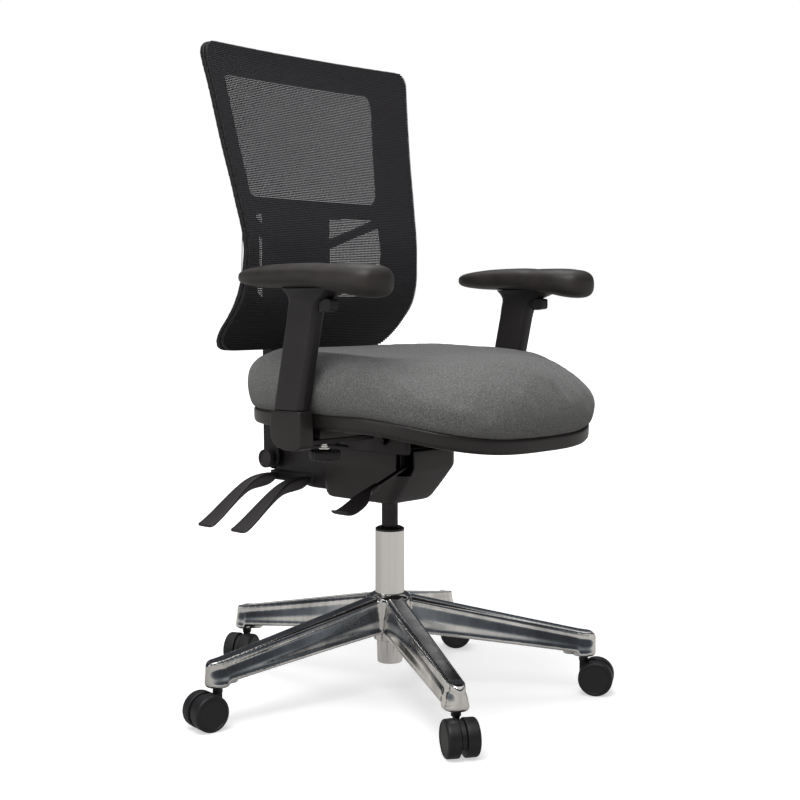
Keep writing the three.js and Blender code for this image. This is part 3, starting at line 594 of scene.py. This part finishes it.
def caster_wheel(n, side, letter):
    middle, heading = caster_place(n)
    radius, inner = AXLE_HEIGHT, WHEEL["web"] / 2 + WHEEL["gap"]
    outer = inner + WHEEL["width"]
    profile = [
        (0, inner), (radius - 3, inner), *arc(radius - 1.6, inner + 1.6, 1.6, -90, 0, 4),
        (radius, inner + 8), (radius - 0.15, inner + 14), *arc(radius - 4.2, outer - 4.6, 4, 5, 80, 6),
        (radius - 4.6, outer - 0.3), (radius - 5.4, outer), (radius - 6.0, outer - 0.4),
        (radius - 6.4, outer - 1.1), (radius - 8, outer - 1.2), (9, outer - 0.7), (0, outer - 0.6),
    ]
    if side < 0:
        profile = [(r, -h) for r, h in profile]
    turn = Matrix.Rotation(heading, 3, "Z")
    wheel = lathe(f"caster_tyre_{n}{letter}", profile, middle, "Y", 72, turn)
    return dress(shade(wheel, 32), CASTER_PLASTIC, f"wheel_{n}{letter}", "caster_plastic",
                  f"caster_wheel_{n}{letter}")


def casters():
    for n in range(1, 6):
        rounded_node(f"caster_hood_{n}", CASTER_PLASTIC, f"caster_{n}", "caster_plastic", 0.9, 3)
        for letter, side in (("a", 1), ("b", -1)):
            caster_wheel(n, side, letter)
        repaint(f"caster_axle_{n}", CHROME)


# ---------- column ----------
def column():
    tube = lathe("column_tube_drawn", [
        (5.6, 66), (18.5, 66), (19.4, 103), (24.8, 125), (25, 186), (25, TUBE_TOP + 1.8),
        (24.4, TUBE_TOP + 2.6), (22.5, TUBE_TOP + 2.6), (22, TUBE_TOP + 2), (22, 130), (15.6, 120),
        (15.6, 70), (5.6, 70), (5.6, 66),
    ])
    dress(shade(tube), CHROME, "base", "column_steel", "column_tube")
    top = TUBE_TOP + 3
    bush = lathe("guide_bush_lip", [
        (14.4, 240), (21.6, 240), (21.6, top), (24.4, top), (24.9, top + 0.5), (24.9, top + 2.2),
        (24.2, top + 3), (22.6, top + 3.3), (21.4, top + 4.6), (20.4, top + 5), (15.6, top + 5),
        (14.4, top + 4.2), (14.4, 240),
    ])
    dress(shade(bush), PLASTIC, "base", "charcoal_plastic", "guide_bush")
    cylinder = lathe("gas_cylinder_body", [
        (5.6, 112), (13.6, 112), (14, 112.6), (14, 342), (13.3, 395), (12, 396), (5.6, 396), (5.6, 112),
    ])
    dress(shade(cylinder), BLACK_STEEL, "lift", "black_steel", "gas_cylinder")


# ---------- mechanism ----------
def mechanism_cover():
    """The tub under the mechanism: its bottom turns up in a soft curve at the front and the sides."""
    def ring(inset, rise, half, y0, y1, z):
        return rounded_rectangle(half - inset, y0 + inset, y1 - inset, z + rise, 18 - inset)

    # half width, front, rear and height
    profile = [(45, -40, 96, 345.2), (50, -46, 101, 345.6), (53, -51, 105, 347.6),
               (55.5, -57, 107.6, 353), (58.4, -69, 109, 368), (61.2, -82, 110, 385),
               (62.6, -88.6, 110.6, 394), (63.8, -94, 111, 401), (64.8, -97.4, 111.8, 407),
               (65, -98, 112, 412), (65, -98, 112, 434), (64.6, -97.6, 111.6, 436.2),
               (63.6, -96.6, 110.6, 437)]
    outer = [ring(0, 0, *p) for p in profile]
    inner = [ring(3, 3 if p[3] < 400 else 0, *p) for p in profile[-2::-1]]
    tub = loft("mechanism_tub", outer + inner)
    minus(tub, rounded_box("notch", (-70, -45), (-100, -74), (396, 445), 1.5))
    minus(tub, rounded_box("mouth", (-48, 48), (96, 118), (352, 445), 1.5))
    minus(tub, lathe("cylinder_hole", [(0, 335), (15.5, 335), (15.5, 360), (0, 360)], sides=48))
    shade(tub, 40)
    return dress(tub, SHELL_PLASTIC, "mechanism", "charcoal_plastic", "mech_cover")


def flat_lever(name, y, stations):
    """A moulded lever: rows of x, z, half width along Y, thickness above and depth below."""
    rings = []
    for x, z, half, thick, deep in spline(stations, 36):
        narrow = 1 - 0.02 * max(deep - thick, 0)
        rings.append([(x, y + a, z + b) if b > 0 else (x, y + a * narrow, z + b * deep / thick)
                      for a, b in superellipse(half, thick, 3.6, 32)])
    return shade(loft(name, rings), 50)


TILT_LEVER = [(-51, 371, 7, 4, 6), (-60, 371.6, 8.4, 4.4, 13), (-70, 371.6, 9.2, 4.4, 17),
              (-86, 370.4, 9.8, 4.6, 18), (-102, 367, 10.8, 4.6, 16), (-118, 360.6, 12.2, 4.3, 13),
              (-136, 349.6, 14.2, 4, 10), (-158, 334, 16.4, 3.6, 7), (-184, 315, 18.5, 3.2, 4.6),
              (-202, 303.4, 19.6, 3, 3.4), (-209, 300, 19.6, 2.8, 3), (-212.4, 298.6, 18, 2.4, 2.4),
              (-213.6, 298.1, 15, 1.6, 1.6)]
LIFT_PADDLE = [(-128, 388.4, 3.9, 3.9, 3.9), (-130, 387.8, 5.6, 5.4, 5.4), (-142, 383.8, 6.2, 5.8, 5.8),
               (-146, 382.4, 6.2, 5.6, 5.6), (-152, 380, 8.4, 4.8, 5.4), (-158, 376.6, 13.4, 4, 5.4),
               (-165, 371.8, 18, 3.2, 5.2), (-174, 366, 20.6, 2.8, 4.6), (-186, 360, 21.4, 2.6, 4),
               (-198, 355.6, 21.4, 2.5, 3.6), (-206, 354.6, 21, 2.5, 3.6), (-211, 355.6, 20, 2.4, 3.6),
               (-213.4, 356.8, 18.4, 1.8, 2.6)]


def bar_between(name, start, end, profile_of):
    """A turned bar from one point to another; profile_of gives its profile for its length."""
    turn = (end - start).to_track_quat("Z", "Y").to_matrix()
    return lathe(name, profile_of((end - start).length), start, "Z", 32, turn)


def levers():
    for name, y in LEVER_Y.items():
        dress(flat_lever(name + "_blade", y, TILT_LEVER), LEVER_PLASTIC, name, "charcoal_plastic", name)
    dress(flat_lever("lift_paddle_fan", PADDLE_Y, LIFT_PADDLE), PLASTIC, "lift_lever", "charcoal_plastic",
           "lift_lever_paddle")
    rod = bar_between("lift_lever_bar", Vector((-53, -84, 411)), Vector((-150, -92, 381)), lambda length: [
        (0, 0), (3.2, 0), (3.6, 0.4), (3.6, length - 0.4), (3.2, length), (0, length),
    ])
    dress(shade(rod), BLACK_STEEL, "lift_lever", "black_steel", "lift_lever_rod")


def side_boxes():
    """The stiffened boxes on both flanks of the housing: a block, and a recessed panel under a ledge."""
    inner, bottom = 50.4, 438.5  # just outside the housing's tray, and just above the tub
    for name, side in SIDES:
        across = sorted((side * inner, side * 60))
        panel = rounded_box(f"flank_{name}", across, (-34, 62), (bottom, 455.5), 1.2)
        minus(panel, rounded_box("recess", sorted((side * 55, side * 64)), (-14, 46), (442, 452), 0.8))
        block = rounded_box("block", sorted((side * inner, side * 64)), (-50, -22), (bottom, 458), 2.4)
        ledge = rounded_box("ledge", sorted((side * inner, side * 66)), (-48, 62), (455, 457.4), 0.8)
        piece = shade(joined(f"flank_{name}", [panel, block, ledge]), 30)
        dress(piece, PLASTIC, "mechanism", "charcoal_plastic")


def pivot_caps():
    for name, side in SIDES:
        profile = [(0, 67.4), (15.6, 67.4), (16.5, 68.4), (16.5, 73.4), *arc(15.1, 74.4, 1.4, 0, 180, 6),
                   (13.2, 73.4), (12.6, 72.8), (0, 72.6)]
        middle = middle_of(f"pivot_cap_{name}")
        handed = [(r, h * side) for r, h in profile]
        cap = lathe(f"pivot_cap_{name}_face", handed, (0, middle[1], middle[2]), "X", 64)
        dress(shade(cap, 32), LEVER_PLASTIC, "mechanism", "charcoal_plastic", f"pivot_cap_{name}")


def mechanism():
    mechanism_cover()
    rounded_node("mech_housing", PLASTIC, "mechanism", "black_steel", 1.3, 4)
    rounded_node("seat_plate", BLACK_STEEL, "seat", "black_steel", 1.3, 3)
    side_boxes()
    pivot_caps()
    levers()
    for cad_node, material in (
        ("tilt_shaft", BLACK_STEEL), ("recline_shaft", BLACK_STEEL), ("tilt_spring", CHROME),
        ("piston_rod", CHROME), ("retaining_clip", CHROME), ("thrust_bearing", BRASS),
        ("seat_board", PLYWOOD),
    ):
        repaint(cad_node, material)


# ---------- seat ----------
def seat_drop(y):
    return SEAT["drop"] * clamp((SEAT["drop_start"] - y) / (SEAT["drop_start"] - SEAT["front"]), 0, 1) ** 1.6


def seat_ring(share, grow, height, lift=None):
    """A ring round the seat: share 1 is the edge and 0 the middle, and grow moves the edge out."""
    ring, count = [], 144
    for k in range(count):
        angle = 2 * math.pi * k / count
        c, s = math.cos(angle), math.sin(angle)
        power = 2 / (SEAT["front_power"] if s < 0 else SEAT["rear_power"])
        reach = (SEAT["middle"] - SEAT["front"] if s < 0 else SEAT["rear"] - SEAT["middle"]) + grow
        x = share * (SEAT["half"] + grow) * math.copysign(abs(c) ** power, c)
        y = SEAT["middle"] + share * reach * math.copysign(abs(s) ** power, s)
        extra = lift(x, y) if lift else 0
        ring.append((x, y, SEAT["underside"] + height - seat_drop(y) + extra))
    return ring


def seat_shell():
    band = SEAT["band"]
    rows = [(0.02, -6, 0), (0.5, -6, 0), (0.85, -7, 0), (1, -9, 0), (1, -6, 0.6), (1, -2.6, 2.2),
            (1, -0.6, 5.4), (1, 0, 9), (1, 0.3, band - 4), (1, 0, band - 1), (1, -0.8, band),
            (1, -3, band), (1, -4, band - 0.6), (1, -6, 6), (0.85, -6, 5), (0.5, -6, 5), (0.02, -6, 5)]
    shell = loft("seat_shell_band", [seat_ring(*row) for row in rows])
    depth = (ARM["lean_y"] - 30, ARM["lean_y"] + 30)
    pads = [rounded_box("arm_seat", sorted((side * 112, side * 228)), depth, (468.4, 483))
            for side in (-1, 1)]
    piece = joined("seat_shell_band", [shade(shell, 35), *pads])
    return dress(piece, SHELL_PLASTIC, "seat", "charcoal_plastic", "seat_shell")


def foam_lift(x, y):
    """The seat's relief: a low rise at the middle of the front, thigh hollows beside it and a fuller rear."""
    across = abs(x) / SEAT["half"]
    front = smooth(clamp((-40 - y) / 220, 0, 1))
    rear = smooth(clamp((y + 60) / 160, 0, 1))
    lobes = 13 * math.exp(-(across / 0.34) ** 2) - 14 * math.exp(-((across - 0.78) / 0.24) ** 2)
    return front * lobes + rear * 6 * across**2


def swollen(piece, held_below, pressure=4.0, cap_mm=7.0, frames=20):
    """Swells a padded skin by a short cloth simulation; points under held_below stay put."""
    remesh = piece.modifiers.new("even", "REMESH")
    remesh.mode, remesh.voxel_size = "VOXEL", 0.005
    apply_modifiers(piece)
    mesh = piece.data
    start = np.empty(len(mesh.vertices) * 3)
    mesh.vertices.foreach_get("co", start)
    start = start.reshape(-1, 3)
    low = held_below / 1000 + ORIGIN.z
    drops = np.array([seat_drop((y - ORIGIN.y) * 1000) / 1000 for y in start[:, 1]])
    held = piece.vertex_groups.new(name="held")
    held.add([int(i) for i in np.nonzero(start[:, 2] < low - drops)[0]], 1.0, "REPLACE")
    cloth = piece.modifiers.new("cloth", "CLOTH")
    cloth.settings.vertex_group_mass = "held"
    cloth.settings.quality = 3
    cloth.settings.mass = 0.3
    cloth.settings.tension_stiffness = cloth.settings.compression_stiffness = 25
    cloth.settings.bending_stiffness = 1.5
    cloth.settings.use_pressure = True
    cloth.settings.uniform_pressure_force = pressure
    cloth.settings.effector_weights.gravity = 0
    cloth.point_cache.frame_start, cloth.point_cache.frame_end = 1, frames
    scene = bpy.context.scene
    for step in range(1, frames + 1):
        scene.frame_set(step)
    shaped = piece.evaluated_get(bpy.context.evaluated_depsgraph_get()).data
    end = np.empty(len(shaped.vertices) * 3)
    shaped.vertices.foreach_get("co", end)
    move = end.reshape(-1, 3) - start
    far = np.maximum(np.linalg.norm(move, axis=1, keepdims=True), 1e-9)
    move *= np.minimum(1, cap_mm / 1000 / far)
    piece.modifiers.remove(cloth)
    mesh.vertices.foreach_set("co", (start + move).ravel())
    scene.frame_set(1)
    settle = piece.modifiers.new("settle", "SMOOTH")
    settle.factor, settle.iterations = 0.5, 4
    finer = piece.modifiers.new("finer", "SUBSURF")
    finer.levels = finer.render_levels = 1
    apply_modifiers(piece)
    mesh.shade_smooth()


def seat_cushion():
    band, top, dish = SEAT["band"], SEAT["foam_top"], SEAT["dish"]
    rows = [(0.02, -8, 17.5), (0.5, -8, 17.5), (0.85, -8, 17.5), (1, -9, 18), (1, -8, band - 1),
            (1, -5, band + 0.6), (1, -1, band + 1.4), (1, 3, band + 5), (1, 6, 38), (1, 8.6, 50),
            (1, 10, 62), (1, 10, 74), (1, 8.4, 84), (1, 5, 93), (1, -0.5, 101), (1, -7, 107),
            (1, -18, top - 3), (0.93, -8, top - 1), (0.86, -2, top - 0.6),
            (0.78, 0, top - 0.3 - 0.12 * dish), (0.66, 0, top - 0.38 * dish), (0.5, 0, top - 0.68 * dish),
            (0.34, 0, top - 0.88 * dish), (0.18, 0, top - 0.97 * dish), (0.02, 0, top - dish)]
    rings = []
    for share, grow, height in rows:
        weight = smooth(clamp((height - 45) / 60, 0, 1))
        rings.append(seat_ring(share, grow, height, lift=lambda x, y: weight * foam_lift(x, y)))
    cushion = loft("seat_cushion_cover", rings)
    cushion.data.shade_smooth()
    swollen(cushion, held_below=SEAT["underside"] + band + 9)
    dress(cushion, FABRIC, "seat", "seat_fabric", "seat_cushion")
    return cushion


# ---------- arms ----------
def leaned_ring(side, width, depth, z, radius=10, shift=0.0):
    """A rounded rectangle round the arm post at a height, moved along its lean."""
    y = ARM["lean_y"] - ARM["lean"] * (z - ARM["lean_z"]) + shift
    ring = rounded_rectangle(width / 2, y - depth / 2, y + depth / 2, z, radius)
    return [(x + side * ARM["x"], b, c) for x, b, c in ring]


def arm_sleeve(name, side):
    low, high, width, depth = ARM["sleeve_bottom"], ARM["sleeve_top"], ARM["width"], ARM["depth"]
    rings = [leaned_ring(side, width - less, depth - less, low + rise)
             for less, rise in ((1.6, 0), (0.4, 0.5), (0, 1.4))]
    rings += [leaned_ring(side, width, depth, z) for z in np.linspace(low + 6, high, 12)]
    sleeve = shade(loft(f"arm_sleeve_{name}_skin", rings), 40)
    return dress(sleeve, PLASTIC, f"arm_top_{name}", "charcoal_plastic", f"arm_sleeve_{name}")


def arm_support(name, side):
    """The trumpet that spreads from the sleeve's head to the underside of the pad."""
    # height, width, depth, shift along Y and corner radius
    rows = [(660, 27.4, 63.4, 0, 10), (672, 27.8, 65, -0.5, 10), (680, 29, 70, -3, 11),
            (686, 32, 80, -7, 12), (691, 37, 94, -11, 14), (695, 43, 106, -14, 16),
            (698, 49, 116, -16, 18), (700.4, 53, 122, -17, 20), (701, 54, 123, -17, 20)]
    rings = [leaned_ring(side, w, d, z, r, shift) for z, w, d, shift, r in spline(rows, 30)]
    support = shade(loft(f"arm_support_{name}_flare", rings), 45)
    return dress(support, PLASTIC, f"arm_top_{name}", "charcoal_plastic", f"arm_pad_support_{name}")


def arm_lower_cover(name, side):
    y, half = ARM["lean_y"], ARM["width"] / 2 + 0.6
    outline = [(y + 33, 514.4), (y - 33, 514.4), (y - 35.6, 462), (y - 34, 457.5), (y - 28, 454.4),
               (y - 14, 452.6), (y + 6, 453), (y + 20, 456.5), (y + 30, 464), (y + 34.6, 474),
               (y + 35.4, 488)]
    points = [(side * ARM["x"] + away, a, b) for away in (-half, half) for a, b in outline]
    n = len(outline)
    faces = [tuple(range(n)), tuple(range(n, 2 * n))[::-1]]
    faces += [(k, (k + 1) % n, n + (k + 1) % n, n + k) for k in range(n)]
    cover = bevelled(from_faces(f"arm_lower_cover_{name}_shell", points, faces), 3.2, 5, 25)
    return dress(cover, SHELL_PLASTIC, f"arm_{name}", "charcoal_plastic", f"arm_lower_cover_{name}")


# An arm pad's stations from rear to front: y, middle height, half width and half thickness.
PAD = [(56, 718.5, 9, 3), (55, 718.5, 16, 6), (51, 718.8, 25, 9.8), (45, 719, 30, 12), (34, 719.2, 35, 14),
       (12, 719.5, 39.6, 16.4), (-20, 720, 41.6, 18.4), (-60, 720.2, 42, 19.3), (-95, 720, 41.8, 19.6),
       (-118, 718.4, 40.6, 19.6), (-136, 717.2, 41.2, 21), (-160, 715.6, 43, 22.6), (-182, 713.4, 42.4, 24.3),
       (-200, 711.4, 39.6, 24.4), (-212, 710.6, 35, 23.4), (-220, 710, 28.6, 20.4), (-225, 709.4, 20, 15),
       (-227.6, 709, 11, 8.6), (-228, 709, 6, 5)]


def arm_pad(name, side):
    rings = []
    for y, z, half, thick in spline(PAD, 72):
        forward = clamp(PAD_TOE["rear_y"] - y, 0, PAD_TOE["length"])
        centre = PAD_TOE["rear_x"] - PAD_TOE["inward"] / PAD_TOE["length"] * forward
        ring = []
        for a, b in superellipse(max(half, 1), max(thick, 0.8), 2.6, 48):
            low = ARM["pad_bottom"] if -134 < y < 70 else 0
            ring.append((side * centre + a, y, max(z + b, low)))
        rings.append(ring)
    pad = loft(f"arm_pad_{name}_skin", rings)
    pad.data.shade_smooth()
    dress(pad, PAD_SKIN, f"arm_top_{name}", "arm_pad_polyurethane", f"arm_pad_{name}")
    return pad


def arm_knob(name, side):
    """A ribbed hand knob under the bracket, with its bright stud."""
    centre, ribs = (side * ARM["knob_x"], ARM["lean_y"], 0), 24
    rings = []
    for radius, z, depth in [(0, 431, 0), (20, 431, 0), (22.6, 431.8, 0.2), (24.4, 434, 0.8), (25, 437, 1),
                             (25, 443, 1), (24.6, 446, 0.6), (23.6, 447, 0.2), (10, 447, 0), (9, 448, 0),
                             (8.4, 450, 0), (0, 450, 0)]:
        rings.append(round_ring(
            lambda angle: max(radius - depth * (0.5 + 0.5 * math.cos(ribs * angle)), 0.01), z, centre,
        ))
    knob = shade(loft(f"arm_knob_{name}_grip", rings), 40)
    dress(knob, PLASTIC, f"arm_knob_{name}", "charcoal_plastic", f"arm_width_knob_{name}")
    stud = lathe(f"arm_stud_{name}", [
        (0, 448.4), (8.6, 448.4), (9, 448.8), (9, 450.8), (8.6, 451.2), (5.4, 451.2), (5.4, 454), (4, 454.6),
        (4, 478), (0, 478)], centre, "Z", 48)
    dress(shade(stud), CHROME, f"arm_knob_{name}", "column_steel")


def arms():
    for name, side in SIDES:
        rounded_node(f"arm_bracket_{name}", BLACK_STEEL, f"arm_{name}", "black_steel", 1.2, 3)
        rounded_node(f"arm_height_button_{name}", PLASTIC, f"arm_button_{name}", "charcoal_plastic", 0.8, 4)
        arm_lower_cover(name, side)
        arm_sleeve(name, side)
        arm_support(name, side)
        arm_pad(name, side)
        arm_knob(name, side)


# ---------- back ----------
def at_height(values, z):
    """A value given at equal steps up the back, read at any height."""
    t = clamp((z - BACK["bottom"]) / (BACK["top"] - BACK["bottom"]), 0, 1) * (len(values) - 1)
    i = min(int(t), len(values) - 2)
    near = [values[max(i - 1, 0)], values[i], values[i + 1], values[min(i + 2, len(values) - 1)]]
    return catmull_rom(near, t - i)


def corner_inset(radius, away):
    return radius - math.sqrt(radius**2 - (radius - away) ** 2) if away < radius else 0


def back_half(z):
    return (at_height(BACK["halves"], z) - corner_inset(BACK["top_corner"], BACK["top"] - z)
            - corner_inset(BACK["bottom_corner"], z - BACK["bottom"]))


def back_front(x, z):
    fade = smooth(clamp((z - BACK["bottom"]) / BACK["bow_fade"], 0, 1))
    return at_height(BACK["fronts"], z) + BACK["bow"] * (1 - (x / at_height(BACK["halves"], z)) ** 2) * fade


def dish_at(x, z):
    """How deep the rear frame is dished; at the bottom edge the dish has already begun."""
    across = at_height(BACK["halves"], z) - abs(x)
    away = min(across, BACK["top"] - z, z - BACK["bottom"] + BACK["dish_start"])
    return BACK["dish"] * smooth(clamp(away / BACK["rim"], 0, 1))


def back_heights():
    """Heights up the back, close together in the rounded corners."""
    low, high = BACK["bottom"], BACK["top"]
    t = np.linspace(0, 1, 70)
    lower = low + BACK["bottom_corner"] * np.array([0, 0.02, 0.08, 0.2, 0.4, 0.65])
    upper = high - BACK["top_corner"] * np.array([0.65, 0.4, 0.2, 0.08, 0.02, 0])
    middle = (low + BACK["bottom_corner"]) + (high - BACK["top_corner"] - low - BACK["bottom_corner"]) * t
    return [*lower, *middle, *upper]


def back_sheet(name, near, far):
    """A curved sheet over the whole back, between two offsets behind its front surface."""
    rings = []
    for z in back_heights():
        half = max(back_half(z), 1)
        xs = np.linspace(-half, half, 64)
        front = [(x, back_front(x, z) + near(x, z), z) for x in xs]
        rear = [(x, back_front(x, z) + far(x, z), z) for x in xs]
        rings.append(front + rear[::-1])
    return loft(name, rings)


MESH_WINDOW = [(-178, 690), (178, 690), (178, 770), (188, 900), (208, 1080),
               (-208, 1080), (-188, 900), (-178, 770)]
UPPER_WINDOW = [(-157, 857), (157, 857), (184, 1063), (-184, 1063)]
LOWER_WINDOW = [(-150, 680), (150, 680), (153, 830), (-153, 830)]


def mesh_frame():
    sheet = back_sheet("mesh_frame_rim", lambda x, z: 2, lambda x, z: 9)
    minus(sheet, rounded_prism("window", MESH_WINDOW, 18))
    piece = remeshed(sheet, 1.8, 5)
    return dress(piece, FRAME_PLASTIC, "back", "charcoal_plastic", "mesh_frame")


def back_frame():
    name = "back_frame_moulding"
    sheet = back_sheet(name, lambda x, z: 9.6 + dish_at(x, z), lambda x, z: 20 + dish_at(x, z))
    minus(sheet, rounded_prism("window", UPPER_WINDOW, 24))
    minus(sheet, rounded_prism("window", LOWER_WINDOW, 20))
    half, top, room = SLEEVE["half"], SLEEVE["top"], UPRIGHT["half"] + 1
    outside = (SLEEVE["front"], SLEEVE["rear"])
    inside = (UPRIGHT["front"] - 1, UPRIGHT["rear"] + 1)
    sleeve = rounded_box("sleeve", (-half, half), outside, (SLEEVE["bottom"], top), 8)
    minus(sleeve, rounded_box("cavity", (-room, room), inside, (560, top - 10), 0.5))
    shelf = rounded_box("shelf", (-66, 66), (176, 214), (top - 30, top), 3)
    foot = rounded_box("foot", (-64, 64), (205, 214), (612, 640), 2)
    struts = []
    for side in (-1, 1):
        start, end = Vector((side * 66, 224, 782)), Vector((side * 162, 175, 827))
        struts.append(bar_between("strut", start, end, lambda length: [
            (0, 0), (9, 0), (8.2, length / 2), (9, length), (0, length),
        ]))
    piece = remeshed(joined(name, [sheet, sleeve, shelf, foot, *struts]), 1.9, 5)
    return dress(piece, FRAME_PLASTIC, "back", "charcoal_plastic", "back_frame")


def back_mesh():
    """The stretched mesh: flat horizontal cords over finer upright threads, as real strands."""
    pitch, cord, thick = 3.0, 2.5, 0.8
    points, faces = [], []

    def strand(rings):
        start, count = len(points), len(rings[0])
        points.extend(p for ring in rings for p in ring)
        for i in range(len(rings) - 1):
            for j in range(count):
                k = (j + 1) % count
                a, b = start + i * count, start + (i + 1) * count
                faces.append((a + j, a + k, b + k, b + j))
        faces.append(tuple(start + j for j in range(count))[::-1])
        faces.append(tuple(start + (len(rings) - 1) * count + j for j in range(count)))

    z = BACK["bottom"] + 2
    while z < BACK["top"] - 1.5:
        half = back_half(z) - 0.6
        rings = []
        for x in np.linspace(-half, half, 30):
            y = back_front(x, z) + 0.8
            rings.append([(x, y - thick / 2, z - cord / 4), (x, y + thick / 2, z - cord / 2),
                          (x, y + thick / 2, z + cord / 2), (x, y - thick / 2, z + cord / 4)])
        strand(rings)
        z += pitch
    thread, spacing = 1.5, 3.4
    widest = max(BACK["halves"])
    for column in np.arange(-widest, widest, spacing):
        heights = np.linspace(BACK["bottom"] + 2, BACK["top"] - 2, 60)
        run = [z for z in heights if abs(column) < back_half(z) - 1]
        if len(run) < 4:
            continue
        rings = []
        for z in run:
            y = back_front(column, z) + 1.25
            rings.append([(column - thread / 2, y, z), (column, y - 0.3, z), (column + thread / 2, y, z),
                          (column, y + 0.3, z)])
        strand(rings)
    cloth = from_faces("back_mesh_strands", points, faces)
    dress(cloth, YARN, "back", "back_mesh_cloth", "back_mesh")
    return cloth


def back():
    mesh_frame()
    back_frame()
    back_mesh()
    rounded_node("back_upright", FRAME_PLASTIC, "upright", "black_steel", 1.5, 5)


# ---------- stage ----------
def stage():
    """A pale floor with a painted glow that brightens away from the chair, a studio room that shows white to
    the camera, and three soft lamps.
    """
    reach = 40
    plane = bpy.data.meshes.new("floor")
    plane.from_pydata([(-reach, -reach, 0), (reach, -reach, 0), (reach, reach, 0), (-reach, reach, 0)],
                      [], [(0, 1, 2, 3)])
    floor = bpy.data.objects.new("floor", plane)
    bpy.context.scene.collection.objects.link(floor)
    glowing_floor_paint, tree, bsdf = shader("pale_floor", (0.80, 0.80, 0.80), 0.95)
    bsdf.inputs["Specular IOR Level"].default_value = 0
    # Painted glow: the floor emits white light, 0.55 within 0.35 m of its centre and rising to 1.0 past 1.5
    # m, so it brightens into the white backdrop.
    away = node(tree, "ShaderNodeVectorMath", operation="LENGTH")
    tree.links.new(node(tree, "ShaderNodeTexCoord").outputs["Object"], away.inputs[0])
    fade = node(tree, "ShaderNodeMapRange")
    for socket, value in (("From Min", 0.35), ("From Max", 1.5), ("To Min", 0.55), ("To Max", 1.0)):
        fade.inputs[socket].default_value = value
    tree.links.new(away.outputs["Value"], fade.inputs["Value"])
    bsdf.inputs["Emission Color"].default_value = (1, 1, 1, 1)
    tree.links.new(fade.outputs["Result"], bsdf.inputs["Emission Strength"])
    floor.data.materials.append(glowing_floor_paint)
    floor.visible_glossy = floor.visible_diffuse = False
    world = bpy.data.worlds.new("studio")
    bpy.context.scene.world = world
    world.use_nodes = True
    tree = world.node_tree
    background = tree.nodes["Background"]
    split = node(tree, "ShaderNodeSeparateXYZ")
    tree.links.new(node(tree, "ShaderNodeTexCoord").outputs["Generated"], split.inputs[0])
    height = node(tree, "ShaderNodeMapRange")
    height.inputs["From Min"].default_value = -1
    tree.links.new(split.outputs["Z"], height.inputs["Value"])
    room = ramp(tree, height.outputs["Result"], [
        (0.0, (0.24, 0.24, 0.24)), (0.30, (0.42, 0.41, 0.40)), (0.47, (0.62, 0.60, 0.57)),
        (0.505, (0.42, 0.42, 0.42)), (0.54, (0.13, 0.15, 0.17)), (0.60, (0.05, 0.055, 0.065)),
        (0.76, (0.035, 0.038, 0.045)), (0.86, (0.55, 0.55, 0.56)), (1.0, (0.85, 0.85, 0.85)),
    ])
    path = node(tree, "ShaderNodeLightPath")
    choose = node(tree, "ShaderNodeMix", data_type="RGBA")
    for socket in choose.inputs:
        if socket.type == "RGBA" and socket.name == "B":
            socket.default_value = (1, 1, 1, 1)
        if socket.type == "RGBA" and socket.name == "A":
            tree.links.new(room, socket)
    tree.links.new(path.outputs["Is Camera Ray"], choose.inputs["Factor"])
    for socket in choose.outputs:
        if socket.type == "RGBA":
            tree.links.new(socket, background.inputs["Color"])
    for name, spot, size, energy in (("key", (-1.5, -0.9, 3.0), 1.7, 52), ("fill", (-2.8, 0.6, 1.2), 1.0, 7),
                                     ("rim", (1.1, 0.9, 3.2), 1.2, 14)):
        light = bpy.data.lights.new(name, "AREA")
        light.size, light.energy = size, energy
        lamp = bpy.data.objects.new(name, light)
        lamp.location = spot
        lamp.rotation_euler = (Vector((0, 0, 0.5)) - Vector(spot)).to_track_quat("-Z", "Y").to_euler()
        bpy.context.scene.collection.objects.link(lamp)
    bpy.context.scene.view_settings.view_transform = "Standard"


def camera():
    lens = bpy.data.cameras.new("camera")
    lens.lens, lens.sensor_width = 61.55, 36
    made = bpy.data.objects.new("camera", lens)
    made.location = place([(-1691.5, -1582.9, 685.5)])[0]
    made.rotation_euler = (math.radians(85.77), 0, math.radians(-47.33))
    bpy.context.scene.collection.objects.link(made)
    bpy.context.scene.camera = made


camera()
stage()
star_base()
hub_barrel()
casters()
column()
mechanism()
seat_shell()
seat_cushion()
arms()
back()
